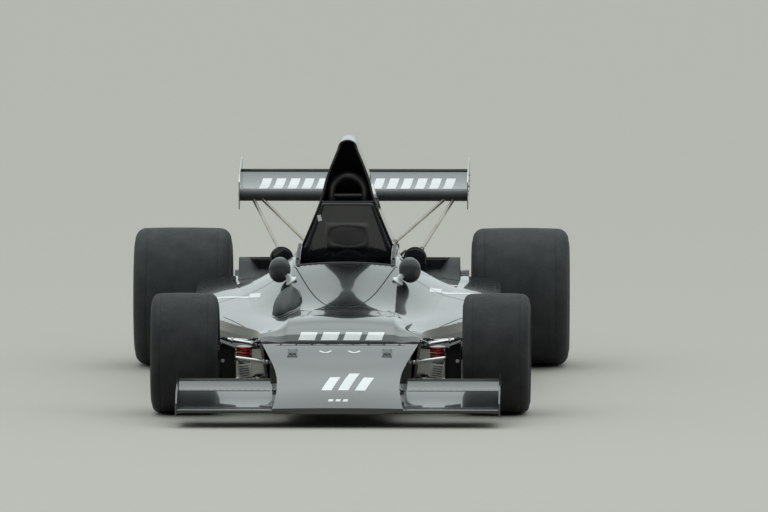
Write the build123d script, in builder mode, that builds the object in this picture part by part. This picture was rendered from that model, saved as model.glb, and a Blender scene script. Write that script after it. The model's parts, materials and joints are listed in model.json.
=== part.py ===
"""Open wheel racing car, single seater with a tall air box and wide slick tyres.

Sizes are in millimetres. The nose points to minus Y, plus Z is up, the ground is at z 0.
Stations are measured rearwards from the front axle; at() turns a station into a world Y.
"""

import os
from collections import namedtuple

from build123d import *

# Wheels
WHEELBASE = 2667.0
FRONT_TRACK = 1452.0
REAR_TRACK = 1612.0
FRONT_TYRE_DIA = 563.0
FRONT_TYRE_WIDTH = 315.0
FRONT_SHOULDER = 38.0
REAR_TYRE_DIA = 658.0
REAR_TYRE_WIDTH = 468.0
REAR_SHOULDER = 54.0
RIM_DIA = 330.0
RIM_FLANGE = 13.0
RIM_WALL = 9.0
FRONT_RIM_WIDTH = 254.0
REAR_RIM_WIDTH = 406.0
SPOKES = 8
BRAKE_DISC_R = 128.0
FRONT_AXLE_Z = FRONT_TYRE_DIA / 2
REAR_AXLE_Z = REAR_TYRE_DIA / 2
FRONT_CENTRE = FRONT_TRACK / 2
REAR_CENTRE = REAR_TRACK / 2
FRONT_FACE = FRONT_CENTRE - FRONT_TYRE_WIDTH / 2
REAR_FACE = REAR_CENTRE - REAR_TYRE_WIDTH / 2

# Lengths along the car
NOSE_TIP = -790.0
NOSE_BACK = -150.0
TAIL_OVERHANG = 843.0
TAIL_END = WHEELBASE + TAIL_OVERHANG
MIDDLE = (NOSE_TIP + TAIL_END) / 2
ENGINE_LENGTH = 540.0
ENGINE_TO_AXLE = 227.0
ENGINE_END = WHEELBASE - ENGINE_TO_AXLE
TUB_FRONT = -60.0
TUB_END = ENGINE_END - ENGINE_LENGTH
POD_TYRE_GAP = 88.0
POD_END = WHEELBASE - REAR_TYRE_DIA / 2 - POD_TYRE_GAP
COWL_FRONT = NOSE_BACK + 10
COWL_END = 1080.0
OPENING_FRONT = COWL_END + 6
OPENING_END = 1640.0
BULKHEAD = 1700.0
HOOP_STATION = 1730.0
DASH_STATION = 1040.0

# Body and tub
SKIN = 6.0
TUB_WALL = 12.0
TUB_TOP = 340.0
FLOOR_Z = 75.0
BULKHEAD_TOP = 560.0
SURROUND_HALF = 300.0
OPENING_HALF = 214.0
RAIL_WIDTH = 22.0
RAIL_END = HOOP_STATION - 132
DECK_DIP = 0.06
POD_WALL = 8.0
POD_IN = 400.0
POD_OUT = 719.0

# Wings
FRONT_WING_SPAN = 1500.0
REAR_WING_SPAN = 1100.0
END_PLATE = 6.0
REAR_END_PLATE = 4.0
WING_ROOT = 304.0
WING_FRONT = TAIL_END - 482
STAY_R = 8.0

# Steering and running gear
KINGPIN_X = FRONT_FACE - 23.5
PIN_R = 9.0
SPINDLE_R = 25.0
RUN_GAP = 0.05
STUB_R = 40.0
SHAFT_R = 18.0
RACK_STATION = -110.0
RACK_Z = 250.0
RACK_R = 9.0
RACK_BODY_R = 20.0
RACK_HALF = 300.0
TRACK_END_Z = 276.0
KNUCKLE_LOW = 172.0
KNUCKLE_TOP = 328.0
FRONT_DISC_X = FRONT_CENTRE - 124
DISC_THICK = 20.0
PAD_GAP = 4.0
WISHBONE_R = 9.0
COLUMN_START = (0, DASH_STATION + 20, 437.1)
COLUMN_END = (0, DASH_STATION + 160, 477)
WHEEL_R = 120.0

# Engine and exhaust
PIPE_X = 350.0
PIPE_Z = 360.0
TAIL_PIPE_X = 230.0
TAIL_PIPE_Z = 400.0
TAIL_PIPE_R = 38.0
TRUMPET_R = 24.0
TRUMPET_X = 56.0
TRUMPET_TOP = 600.0
CYLINDER_PITCH = 120.0


def at(station):
    return station - MIDDLE


def cross(station):
    """Plane across the car at a station, with its own Y pointing up."""
    return Plane.XZ.offset(-at(station))


def rod(start, end, radius, mode=Mode.ADD):
    """Round bar between two points given as x, station, z."""
    a = Vector(start[0], at(start[1]), start[2])
    b = Vector(end[0], at(end[1]), end[2])
    with Locations(Plane(origin=a, z_dir=b - a).location):
        Cylinder(radius, (b - a).length, align=(Align.CENTER, Align.CENTER, Align.MIN), mode=mode)


def block(x0, x1, s0, s1, z0, z1, mode=Mode.ADD):
    """Box between two x, two stations and two heights."""
    with Locations(((x0 + x1) / 2, at((s0 + s1) / 2), (z0 + z1) / 2)):
        Box(abs(x1 - x0), abs(s1 - s0), abs(z1 - z0), mode=mode)


def disc_x(x0, x1, station, z, radius, mode=Mode.ADD):
    """Short cylinder lying along X."""
    with Locations(Location(((x0 + x1) / 2, at(station), z), (0, 90, 0))):
        Cylinder(radius, abs(x1 - x0), mode=mode)


def upright_pin(x, station, z0, z1, radius, mode=Mode.ADD):
    """Short cylinder standing along Z."""
    with Locations((x, at(station), (z0 + z1) / 2)):
        Cylinder(radius, z1 - z0, mode=mode)


def between(a, b, lift):
    """Point half way between two outline points, lifted."""
    return ((a[0] + b[0]) / 2, (a[1] + b[1]) / 2 + lift)


def other_side(point):
    return (-point[0], point[1])


# Body skin, half sections: crown, hump edge, deck and chine
Row = namedtuple("Row", "station top_z hump_x hump_z deck_x deck_z chine_x chine_z")
BODY = (
    Row(COWL_FRONT + 60, 396, 250, 393, 332, 386, 383, 374),
    Row(350, 458, 246, 446, 370, 408, 490, 382),
    Row(700, 522, 246, 508, 430, 432, 600, 388),
    Row(COWL_END, 618, 250, 602, 470, 462, 660, 402),
    Row(1500, 640, 250, 622, 520, 474, 706, 420),
    Row(TUB_END, 620, 238, 586, 420, 480, 722, 430),
    Row(POD_END, 590, 232, 552, 400, 472, 725, 436),
)
FRONT_LIP = (
    Row(COWL_FRONT, 350, 244, 349, 322, 347, 368, 346),
    Row(COWL_FRONT + 24, 381, 248, 378, 328, 371, 376, 362),
    BODY[0],
)
INNER_LIP = (Row(COWL_FRONT + 16, 368, 246, 366, 325, 360, 373, 355), BODY[0])


def body_outline(row, inset):
    """Closed outline of the body at one station, drawn in from the skin by inset."""
    hump = (row.hump_x - inset / 2, row.hump_z - inset)
    deck = (row.deck_x - inset / 2, row.deck_z - inset)
    chine = (row.chine_x - inset, row.chine_z - inset)
    foot = (row.chine_x - inset, TUB_TOP)
    dip = DECK_DIP * (deck[0] - hump[0])
    Polyline(chine, foot, other_side(foot), other_side(chine))
    ThreePointArc(other_side(chine), between(other_side(chine), other_side(deck), dip / 2), other_side(deck))
    ThreePointArc(other_side(deck), between(other_side(deck), other_side(hump), -dip), other_side(hump))
    ThreePointArc(other_side(hump), (0, row.top_z - inset), hump)
    ThreePointArc(hump, between(hump, deck, -dip), deck)
    ThreePointArc(deck, between(deck, chine, dip / 2), chine)


with BuildPart() as body_solid:
    for rows in (FRONT_LIP, BODY):
        for row in rows:
            with BuildSketch(cross(row.station)):
                with BuildLine():
                    body_outline(row, 0)
                make_face()
        loft(ruled=rows is FRONT_LIP)

with BuildPart() as body_hollow:
    for rows in (INNER_LIP, BODY):
        for row in rows:
            with BuildSketch(cross(row.station)):
                with BuildLine():
                    body_outline(row, SKIN)
                make_face()
        loft(ruled=rows is INNER_LIP)

with BuildPart() as body_shell:
    add(body_solid.part)
    add(body_hollow.part, mode=Mode.SUBTRACT)

# Tub, hollow, with cockpit walls, floor and bulkheads
TubRow = namedtuple("TubRow", "station top_x low_x")
TUB = (
    TubRow(TUB_FRONT, 378, 336),
    TubRow(350, 486, 452),
    TubRow(700, 596, 566),
    TubRow(COWL_END, 655, 630),
    TubRow(TUB_END, 712, 690),
)
FUEL_WALL = 255.0
FUEL_FRONT = 700.0

with BuildPart() as tub_solid:
    for row in TUB:
        with BuildSketch(cross(row.station)):
            with BuildLine():
                Polyline(
                    (row.top_x, TUB_TOP),
                    (row.low_x, FLOOR_Z),
                    (-row.low_x, FLOOR_Z),
                    (-row.top_x, TUB_TOP),
                    close=True,
                )
            make_face()
    loft()

with BuildPart() as tub:
    add(tub_solid.part)
    for row in TUB:
        with BuildSketch(cross(row.station)):
            with BuildLine():
                Polyline(
                    (row.top_x - TUB_WALL, TUB_TOP + 1),
                    (row.low_x - TUB_WALL, FLOOR_Z + TUB_WALL),
                    (-row.low_x + TUB_WALL, FLOOR_Z + TUB_WALL),
                    (-row.top_x + TUB_WALL, TUB_TOP + 1),
                    close=True,
                )
            make_face()
    loft(mode=Mode.SUBTRACT)
    block(-330, 330, TUB_FRONT, TUB_FRONT + TUB_WALL, FLOOR_Z + 5, TUB_TOP)
    block(-690, 690, TUB_END - TUB_WALL, TUB_END, FLOOR_Z + 5, TUB_TOP)
    for side in (1, -1):
        block(side * FUEL_WALL, side * (FUEL_WALL + TUB_WALL), FUEL_FRONT, TUB_END, FLOOR_Z + 5, TUB_TOP)
        block(side * FUEL_WALL, side * 560, FUEL_FRONT, FUEL_FRONT + TUB_WALL, FLOOR_Z + 5, TUB_TOP)
    block(-FUEL_WALL, FUEL_WALL, BULKHEAD, BULKHEAD + TUB_WALL, FLOOR_Z + 5, BULKHEAD_TOP)

# Nose, hollow, open at the back, its lower edge bevelled beside a flat
NoseRow = namedtuple("NoseRow", "station crown_z edge_x edge_z waist_x waist_z low_x low_z flat_x flat_z")
NOSE = (
    NoseRow(NOSE_TIP, 94, 303, 91, 303, 86, 301, 80, 188, 66),
    NoseRow(-600, 202, 284, 194, 286, 130, 284, 80, 200, 66),
    NoseRow(-380, 272, 312, 268, 284, 170, 282, 88, 240, 70),
    NoseRow(NOSE_BACK, 339, 363, 338, 293, 205, 282, 98, 260, 80),
)


def nose_outline(row, inset):
    """Closed outline of the nose at one station, drawn in by inset."""
    edge = (row.edge_x - inset, row.edge_z - inset)
    waist = (row.waist_x - inset, row.waist_z)
    low = (row.low_x - inset, row.low_z + inset / 2)
    flat = (row.flat_x, row.flat_z + inset)
    right = [edge, waist, low, flat]
    Polyline(*right, *[other_side(point) for point in reversed(right)])
    ThreePointArc(other_side(edge), (0, row.crown_z - inset), edge)


with BuildPart() as nose_solid:
    for row in NOSE:
        with BuildSketch(cross(row.station)):
            with BuildLine():
                nose_outline(row, 0)
            make_face()
    loft()

NOSE_INSIDE = (NOSE[1]._replace(station=NOSE_TIP + 60, crown_z=128, edge_z=120, waist_z=104, edge_x=300),) + NOSE[1:]
with BuildPart() as nose:
    add(nose_solid.part)
    for row in NOSE_INSIDE:
        with BuildSketch(cross(row.station)):
            with BuildLine():
                nose_outline(row, SKIN)
            make_face()
    loft(mode=Mode.SUBTRACT)
    for side in (1, -1):
        block(side * 250, side * 270, NOSE_BACK - 10, TUB_FRONT, 105, 135)
    block(-281, 281, NOSE_BACK - 20, NOSE_BACK - 10, 105, 129)

# Front wings with end plates
WING_CHORD_FRONT = NOSE_TIP + 8
WING_CHORD_BACK = -430.0
with BuildPart() as front_wings:
    for side in (1, -1):
        with BuildSketch(Plane.YZ.offset(side * (FRONT_WING_SPAN / 2 + WING_ROOT - 40) / 2)):
            with BuildLine():
                ThreePointArc((at(WING_CHORD_FRONT), 86), (at(-600), 116), (at(WING_CHORD_BACK), 176))
                Line((at(WING_CHORD_BACK), 176), (at(WING_CHORD_BACK - 1), 171))
                ThreePointArc((at(WING_CHORD_BACK - 1), 171), (at(-600), 94), (at(WING_CHORD_FRONT + 2), 68))
                ThreePointArc(
                    (at(WING_CHORD_FRONT + 2), 68), (at(WING_CHORD_FRONT - 6), 77), (at(WING_CHORD_FRONT), 86)
                )
            make_face()
        extrude(amount=(FRONT_WING_SPAN / 2 - WING_ROOT + 40) / 2, both=True)
        with BuildSketch(Plane.YZ.offset(side * (FRONT_WING_SPAN - END_PLATE) / 2)):
            with BuildLine():
                Polyline(
                    (at(NOSE_TIP), 54),
                    (at(NOSE_TIP), 112),
                    (at(-700), 160),
                    (at(-440), 228),
                    (at(-400), 228),
                    (at(-400), 120),
                    (at(-520), 58),
                    close=True,
                )
            make_face()
        extrude(amount=END_PLATE / 2, both=True)
    add(nose_solid.part, mode=Mode.SUBTRACT)

# Front cowl, cockpit surround and side pods, all from the one body skin
with BuildPart() as front_cowl:
    add(body_shell.part)
    block(-800, 800, COWL_END, TAIL_END, 300, 700, mode=Mode.SUBTRACT)

with BuildPart() as roll_hoop:
    for side in (1, -1):
        rod((side * 80, HOOP_STATION, TUB_TOP), (side * 80, HOOP_STATION, 900), 18)
        block(side * 66, side * 94, BULKHEAD + TUB_WALL, HOOP_STATION + 15, TUB_TOP + 30, TUB_TOP + 60)
    rod((-80, HOOP_STATION, 885), (80, HOOP_STATION, 885), 12)
    with BuildSketch(Plane.XY.offset(900)):
        with Locations((80, at(HOOP_STATION))):
            Circle(18)
    revolve(axis=Axis((0, at(HOOP_STATION), 900), (0, 1, 0)), revolution_arc=-180)
    block(-120, 120, HOOP_STATION + 10, HOOP_STATION + 22, TUB_TOP, 420)

with BuildPart() as cockpit_surround:
    add(body_shell.part)
    for side in (1, -1):
        block(side * 262, side * 268, COWL_END, TUB_END, TUB_TOP, 640)
    block(-240, 240, BULKHEAD, BULKHEAD + POD_WALL, BULKHEAD_TOP, 660)
    add(body_solid.part, mode=Mode.INTERSECT)
    block(-800, 800, COWL_FRONT - 50, COWL_END, 300, 700, mode=Mode.SUBTRACT)
    block(-800, 800, TUB_END, TAIL_END, 300, 700, mode=Mode.SUBTRACT)
    block(-OPENING_HALF, OPENING_HALF, OPENING_FRONT, OPENING_END, 300, 700, mode=Mode.SUBTRACT)
    for side in (1, -1):
        block(side * SURROUND_HALF, side * 800, COWL_END, TUB_END, 300, 700, mode=Mode.SUBTRACT)
        with BuildSketch(Plane.YZ.offset(side * OPENING_HALF)):
            with BuildLine():
                Polyline(
                    (at(OPENING_FRONT + 6), 590),
                    (at(OPENING_FRONT + 36), 628),
                    (at(OPENING_FRONT + 180), 656),
                    (at(RAIL_END - 30), 662),
                    (at(RAIL_END), 650),
                    (at(RAIL_END), 590),
                    close=True,
                )
            make_face()
        extrude(amount=side * RAIL_WIDTH)
    add(roll_hoop.part, mode=Mode.SUBTRACT)

RADIATOR_FRONT = POD_END - 100
RADIATOR_DEPTH = 60.0
with BuildPart() as side_pods:
    add(body_shell.part)
    block(-800, 800, COWL_FRONT - 50, COWL_END, 300, 700, mode=Mode.SUBTRACT)
    block(-SURROUND_HALF, SURROUND_HALF, COWL_END, TAIL_END, 300, 700, mode=Mode.SUBTRACT)
    for side in (1, -1):
        block(side * POD_IN, side * POD_OUT, TUB_END, POD_END, FLOOR_Z, FLOOR_Z + POD_WALL)
        block(side * (POD_OUT - POD_WALL), side * POD_OUT, TUB_END, POD_END, FLOOR_Z, TUB_TOP + 20)
        block(side * POD_IN, side * (POD_IN + POD_WALL), TUB_END, POD_END, FLOOR_Z, TUB_TOP + 60)

with BuildPart() as radiators:
    for side in (1, -1):
        block(
            side * (POD_IN + POD_WALL),
            side * (POD_OUT - POD_WALL),
            RADIATOR_FRONT,
            RADIATOR_FRONT + RADIATOR_DEPTH,
            FLOOR_Z + POD_WALL,
            400,
        )

# Hoods over the radiators: open in front, their outer side slanted
HOOD_FRONT = POD_END - 150
HOOD_BACK = POD_END - 1
STAY_FOOT = (333, POD_END - 30, 597)
INNER_FOOT = (200, ENGINE_END - 120, 606)
with BuildPart() as radiator_hoods:
    for side in (1, -1):
        for station, drop in ((HOOD_FRONT, 0), (HOOD_BACK, 14)):
            with BuildSketch(cross(station)):
                with BuildLine():
                    Polyline(
                        (side * 322, 420),
                        (side * 322, 563 - drop),
                        (side * 526, 563 - drop),
                        (side * 478, 480 - drop),
                        (side * 440, 420),
                        close=True,
                    )
                make_face()
        loft()
        with BuildSketch(cross(HOOD_FRONT - 1)):
            with BuildLine():
                Polyline(
                    (side * 335, 506), (side * 331, 553), (side * 466, 553), (side * 430, 504), close=True
                )
            make_face()
        extrude(amount=-141, mode=Mode.SUBTRACT)
        block(side * 324, side * 342, STAY_FOOT[1] - 18, STAY_FOOT[1] + 18, 540, 588)
    add(body_solid.part, mode=Mode.SUBTRACT)

# Scoops behind the shoulders, arched over and closed behind
SCOOP_FRONT = TUB_END - 120
SCOOP_BACK = TUB_END - 5
ScoopEnd = namedtuple("ScoopEnd", "station top_z")
with BuildPart() as shoulder_scoops:
    for side in (1, -1):
        for end in (ScoopEnd(SCOOP_FRONT, 638), ScoopEnd(SCOOP_BACK, 612)):
            with BuildSketch(cross(end.station)):
                with BuildLine():
                    Polyline(
                        (side * 262, end.top_z - 44), (side * 262, 440), (side * 372, 440), (side * 372, end.top_z - 50)
                    )
                    ThreePointArc(
                        (side * 372, end.top_z - 50), (side * 314, end.top_z), (side * 262, end.top_z - 44)
                    )
                make_face()
        loft()
        with BuildSketch(cross(SCOOP_FRONT - 1)):
            with BuildLine():
                Polyline((side * 270, 586), (side * 270, 430), (side * 364, 430), (side * 364, 582))
                ThreePointArc((side * 364, 582), (side * 314, 626), (side * 270, 586))
            make_face()
        extrude(amount=-100, mode=Mode.SUBTRACT)
    add(body_solid.part, mode=Mode.SUBTRACT)

with BuildPart() as gear_blister:
    with Locations(Location((-262, at(740), 462), (0, 28, 0))):
        Cylinder(64, 60)
    fillet(gear_blister.edges().group_by(Axis.Z)[-1], 12)
    add(body_solid.part, mode=Mode.SUBTRACT)

# Seat and dash
with BuildPart() as seat:
    with BuildSketch(Plane.YZ.offset(-190)):
        with BuildLine():
            Polyline((at(1150), 150), (at(1180), 87.3), (at(1500), 87.3), (at(1690), 520), (at(1660), 530))
            ThreePointArc((at(1660), 530), (at(1552), 270), (at(1468), 130))
            Polyline((at(1468), 130), (at(1200), 126), (at(1150), 150))
        make_face()
    extrude(amount=380)
    for side in (1, -1):
        block(side * 190, side * 205, 1150, 1600, 87.3, 220)

with BuildPart() as dash_panel:
    block(-240, 240, DASH_STATION, DASH_STATION + TUB_WALL, TUB_TOP, 620)
    block(-270, 270, DASH_STATION, DASH_STATION + TUB_WALL, TUB_TOP, 530)
    rod((0, 1052, 434.8), (0, 1132, 457.6), 16)
    rod((0, 1000, 420), COLUMN_END, PIN_R + RUN_GAP, mode=Mode.SUBTRACT)
    add(body_hollow.part, mode=Mode.INTERSECT)

# Air box, hollow, open mouth in front
AirRow = namedtuple("AirRow", "station top_z peak_x peak_z upper_x upper_z waist_x waist_z low_x low_z foot_x foot_z")
AIRBOX = (
    AirRow(HOOP_STATION - 130, 1184, 50, 1140, 98, 985, 130, 867, 188, 722, 247, 592),
    AirRow(2050, 1164, 50, 1120, 98, 970, 130, 860, 184, 718, 240, 590),
    AirRow(ENGINE_END + 10, 1010, 34, 976, 66, 880, 96, 800, 146, 700, 204, 618),
)
AIR_WALL = 9.0


def air_outline(row, inset):
    """Closed outline of the air box at one station, its sides drawn in by inset."""
    peak = (row.peak_x - inset, row.peak_z)
    right = [
        peak,
        (row.upper_x - inset, row.upper_z),
        (row.waist_x - inset, row.waist_z),
        (row.low_x - inset, row.low_z),
        (row.foot_x - inset, row.foot_z - inset / AIR_WALL),
    ]
    Polyline(*right, *[other_side(point) for point in reversed(right)])
    ThreePointArc(other_side(peak), (0, row.top_z - inset), peak)


with BuildPart() as airbox_solid:
    for row in AIRBOX:
        with BuildSketch(cross(row.station)):
            with BuildLine():
                air_outline(row, 0)
            make_face()
    loft()

MOUTH_LIP_Z = 866.0
with BuildPart() as airbox:
    add(airbox_solid.part)
    for row in AIRBOX[:-1] + (AIRBOX[-1]._replace(station=ENGINE_END + 10 - AIR_WALL),):
        with BuildSketch(cross(row.station)):
            with BuildLine():
                air_outline(row, AIR_WALL)
            make_face()
    loft(mode=Mode.SUBTRACT)
    with BuildSketch(cross(AIRBOX[0].station)):
        with BuildLine():
            Polyline(
                (126, MOUTH_LIP_Z),
                (184, 722),
                (238, 602),
                (-238, 602),
                (-184, 722),
                (-126, MOUTH_LIP_Z),
                close=True,
            )
        make_face()
    extrude(amount=-AIR_WALL)
    add(body_solid.part, mode=Mode.SUBTRACT)
    add(roll_hoop.part, mode=Mode.SUBTRACT)

# Mirrors with their stalks
with BuildPart() as mirrors:
    for side in (1, -1):
        with Locations(Location((side * 308, at(905), 598), (90, 0, 0))):
            Cylinder(57, 24)
        rod((side * 292, 908, 556), (side * 250, 930, 520), 7)
    add(body_solid.part, mode=Mode.SUBTRACT)

# Engine: crankcase with sump, two banks, intake trumpets in the V and cam covers
BANK_LOW = (150, 262)
BANK_OUT = (300, 400)
BANK_TOP = (215, 490)
VALLEY = (92, 400)
with BuildPart() as engine_block:
    with BuildSketch(cross(TUB_END)):
        with BuildLine():
            Polyline((118, 128), (150, 170), BANK_LOW, BANK_OUT, BANK_TOP, VALLEY)
            Line(VALLEY, other_side(VALLEY))
            Polyline(
                other_side(VALLEY),
                other_side(BANK_TOP),
                other_side(BANK_OUT),
                other_side(BANK_LOW),
                (-150, 170),
                (-118, 128),
                (118, 128),
            )
        make_face()
    extrude(amount=-ENGINE_LENGTH)
    block(-96, 96, TUB_END + 20, ENGINE_END - 20, 104, 130)
    for side in (1, -1):
        for number in range(4):
            station = TUB_END + ENGINE_LENGTH / 2 + (number - 1.5) * CYLINDER_PITCH
            upright_pin(side * TRUMPET_X, station, 398, TRUMPET_TOP - 20, TRUMPET_R)
            with Locations((side * TRUMPET_X, at(station), TRUMPET_TOP - 10)):
                Cone(TRUMPET_R, TRUMPET_R + 8, 20)
                Cylinder(TRUMPET_R - 3, 160, align=(Align.CENTER, Align.CENTER, Align.MAX), mode=Mode.SUBTRACT)
                Cylinder(TRUMPET_R - 3, 22, mode=Mode.SUBTRACT)

with BuildPart() as cam_covers:
    for side in (1, -1):
        with BuildSketch(cross(TUB_END + 12)):
            with BuildLine():
                Polyline((side * 300, 400), (side * 318, 419), (side * 233, 509), (side * 215, 490), close=True)
            make_face()
        extrude(amount=-(ENGINE_LENGTH - 24))
        for x, z in ((292, 428), (243, 480)):
            rod((side * x, TUB_END + 12, z), (side * x, ENGINE_END - 12, z), 27)
    add(engine_block.part, mode=Mode.SUBTRACT)

# Gearbox with its bell housing, spring beam, link bracket and jack peg
GEARBOX_END = WHEELBASE + 233
TAIL_CASE_END = WHEELBASE + 453
SPRING_STATION = WHEELBASE + 83
BEAM_Z = 545.0
BEAM_THICK = 30.0
JACK_Z = 320.0
JACK_LENGTH = 70.0
with BuildPart() as gearbox:
    for station, half_x, low, high in ((ENGINE_END, 150, 165, 440), (ENGINE_END + 120, 112, 200, 430)):
        with BuildSketch(cross(station)):
            with Locations((0, (low + high) / 2)):
                RectangleRounded(2 * half_x, high - low, 30)
    loft()
    with BuildSketch(cross(ENGINE_END + 120)):
        with Locations((0, 315)):
            RectangleRounded(224, 230, 30)
    extrude(amount=-(GEARBOX_END - ENGINE_END - 120))
    with BuildSketch(cross(GEARBOX_END)):
        with Locations((0, 330)):
            RectangleRounded(170, 180, 24)
    extrude(amount=-(TAIL_CASE_END - GEARBOX_END))
    for station in (ENGINE_END + 200, GEARBOX_END - 10):
        with BuildSketch(cross(station)):
            with Locations((0, 315)):
                RectangleRounded(240, 246, 34)
        extrude(amount=-10)
    block(-40, 40, SPRING_STATION - 30, SPRING_STATION + 30, 420, BEAM_Z)
    block(-225, 225, SPRING_STATION - 25, SPRING_STATION + 25, BEAM_Z, BEAM_Z + BEAM_THICK)
    for side in (1, -1):
        block(side * 80, side * 104, ENGINE_END + 25, ENGINE_END + 55, 410, 520)
        disc_x(side * 95, side * 125, WHEELBASE, REAR_AXLE_Z, 46)
        disc_x(side * 96, side * 126, WHEELBASE, REAR_AXLE_Z, SHAFT_R + RUN_GAP, mode=Mode.SUBTRACT)
    rod((0, TAIL_CASE_END, JACK_Z), (0, TAIL_CASE_END + JACK_LENGTH, JACK_Z), 12)

# Exhausts, four pipes into one on each side
with BuildPart() as exhausts:
    for side in (1, -1):
        rod((side * PIPE_X, TUB_END + 60, PIPE_Z), (side * PIPE_X, ENGINE_END, PIPE_Z), 26)
        rod((side * PIPE_X, ENGINE_END, PIPE_Z), (side * TAIL_PIPE_X, WHEELBASE - 60, TAIL_PIPE_Z), 30)
        rod(
            (side * TAIL_PIPE_X, WHEELBASE - 70, TAIL_PIPE_Z),
            (side * TAIL_PIPE_X, TAIL_CASE_END + 40, TAIL_PIPE_Z + 20),
            TAIL_PIPE_R,
        )
        rod(
            (side * TAIL_PIPE_X, TAIL_CASE_END - 60, TAIL_PIPE_Z + 17),
            (side * TAIL_PIPE_X, TAIL_CASE_END + 50, TAIL_PIPE_Z + 20.5),
            TAIL_PIPE_R - 4,
            mode=Mode.SUBTRACT,
        )
        for number in range(4):
            station = TUB_END + ENGINE_LENGTH / 2 + (number - 1.5) * CYLINDER_PITCH
            rod((side * 200, station - 20, 330), (side * PIPE_X, station + 20, PIPE_Z), 20)
        sphere_place = (side * PIPE_X, at(TUB_END + 60), PIPE_Z)
        with Locations(sphere_place, (side * PIPE_X, at(ENGINE_END), PIPE_Z)):
            Sphere(27)
    add(engine_block.part, mode=Mode.SUBTRACT)

# Rear wing, end plates, post and stays
WING_BACK = TAIL_END - 5
WING_MID = (WING_FRONT + WING_BACK) / 2
WING_LEAD = WING_FRONT + 27
with BuildPart() as rear_wing:
    with BuildSketch(Plane.YZ.offset(-REAR_WING_SPAN / 2 + REAR_END_PLATE)):
        with BuildLine():
            ThreePointArc((at(WING_LEAD), 809), (at(WING_MID + 13), 826), (at(WING_BACK), 871))
            Line((at(WING_BACK), 871), (at(WING_BACK), 865))
            ThreePointArc((at(WING_BACK), 865), (at(WING_MID + 13), 778), (at(WING_LEAD), 756))
            ThreePointArc((at(WING_LEAD), 756), (at(WING_FRONT), 782), (at(WING_LEAD), 809))
        make_face()
    extrude(amount=REAR_WING_SPAN - 2 * REAR_END_PLATE)

with BuildPart() as wing_end_plates:
    for side in (1, -1):
        with BuildSketch(Plane.YZ.offset(side * (REAR_WING_SPAN / 2 - REAR_END_PLATE))):
            with BuildLine():
                Polyline(
                    (at(WING_FRONT - 18), 722),
                    (at(WING_FRONT - 18), 850),
                    (at(WING_FRONT + 32), 884),
                    (at(TAIL_END), 930),
                    (at(TAIL_END), 780),
                    (at(TAIL_END - 210), 722),
                    close=True,
                )
            make_face()
        extrude(amount=side * REAR_END_PLATE)

POST_HALF = 50.0
POST_PLATE = 6.0
with BuildPart() as wing_post:
    for side in (1, -1):
        with BuildSketch(Plane.YZ.offset(side * POST_HALF)):
            with BuildLine():
                Polyline(
                    (at(TAIL_CASE_END - 160), 420),
                    (at(TAIL_CASE_END), 420),
                    (at(WING_BACK - 175), 830),
                    (at(WING_FRONT + 92), 830),
                    close=True,
                )
            make_face()
            with Locations((at(TAIL_CASE_END - 10), 560), (at(TAIL_CASE_END + 50), 670)):
                Circle(28, mode=Mode.SUBTRACT)
        extrude(amount=side * POST_PLATE)
    rod(
        (-POST_HALF - POST_PLATE, TAIL_CASE_END - 62, 492), (POST_HALF + POST_PLATE, TAIL_CASE_END - 62, 492), 9
    )
    add(rear_wing.part, mode=Mode.SUBTRACT)

STAY_TOP = WING_FRONT + 42
with BuildPart() as wing_stays:
    for side in (1, -1):
        rod((side * 487, STAY_TOP, 775), (side * STAY_FOOT[0], STAY_FOOT[1], STAY_FOOT[2] - 18), STAY_R)
        rod((side * 450, STAY_TOP, 775), (side * INNER_FOOT[0], INNER_FOOT[1], INNER_FOOT[2]), STAY_R)
    add(rear_wing.part, mode=Mode.SUBTRACT)
    add(airbox_solid.part, mode=Mode.SUBTRACT)
    add(radiator_hoods.part, mode=Mode.SUBTRACT)
    add(body_solid.part, mode=Mode.SUBTRACT)

# Front suspension and steering
Leg = namedtuple("Leg", "station high_z low_z")
LEGS = (Leg(-40, 322, 160), Leg(130, 322, 160))
UPPER_OUT_Z = 347.0
LOWER_OUT_Z = 157.0
SPRING_X = KINGPIN_X - 93
SPRING_R = 40.0
with BuildPart() as front_wishbones:
    for side in (1, -1):
        x = side * KINGPIN_X
        for leg in LEGS:
            rod((side * 360, leg.station, leg.high_z), (x, 0, UPPER_OUT_Z), WISHBONE_R)
            rod((side * 330, leg.station, leg.low_z), (x, 0, LOWER_OUT_Z), WISHBONE_R + 1)
        for low, high in ((UPPER_OUT_Z - 7, UPPER_OUT_Z + 7), (LOWER_OUT_Z - 7, LOWER_OUT_Z + 7)):
            upright_pin(x, 0, low, high, 2 * PIN_R)
            upright_pin(x, 0, low - 10, high + 10, PIN_R + RUN_GAP, mode=Mode.SUBTRACT)
    add(tub_solid.part, mode=Mode.SUBTRACT)

with BuildPart() as front_springs:
    for side in (1, -1):
        upright_pin(side * SPRING_X, 20, 176, 250, 28)
        upright_pin(side * SPRING_X, 20, 250, 312, SPRING_R)
        rod((side * SPRING_X, 20, 306), (side * 350, 20, 306), 10)
    add(front_wishbones.part, mode=Mode.SUBTRACT)
    add(tub_solid.part, mode=Mode.SUBTRACT)

with BuildPart() as rack_housing:
    rod((-RACK_HALF, RACK_STATION, RACK_Z), (RACK_HALF, RACK_STATION, RACK_Z), RACK_BODY_R)
    for side in (1, -1):
        block(side * 200, side * 240, RACK_STATION, TUB_FRONT, RACK_Z - 13, RACK_Z + 13)
    rod((-RACK_HALF - 10, RACK_STATION, RACK_Z), (RACK_HALF + 10, RACK_STATION, RACK_Z), RACK_R + RUN_GAP, mode=Mode.SUBTRACT)

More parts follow.
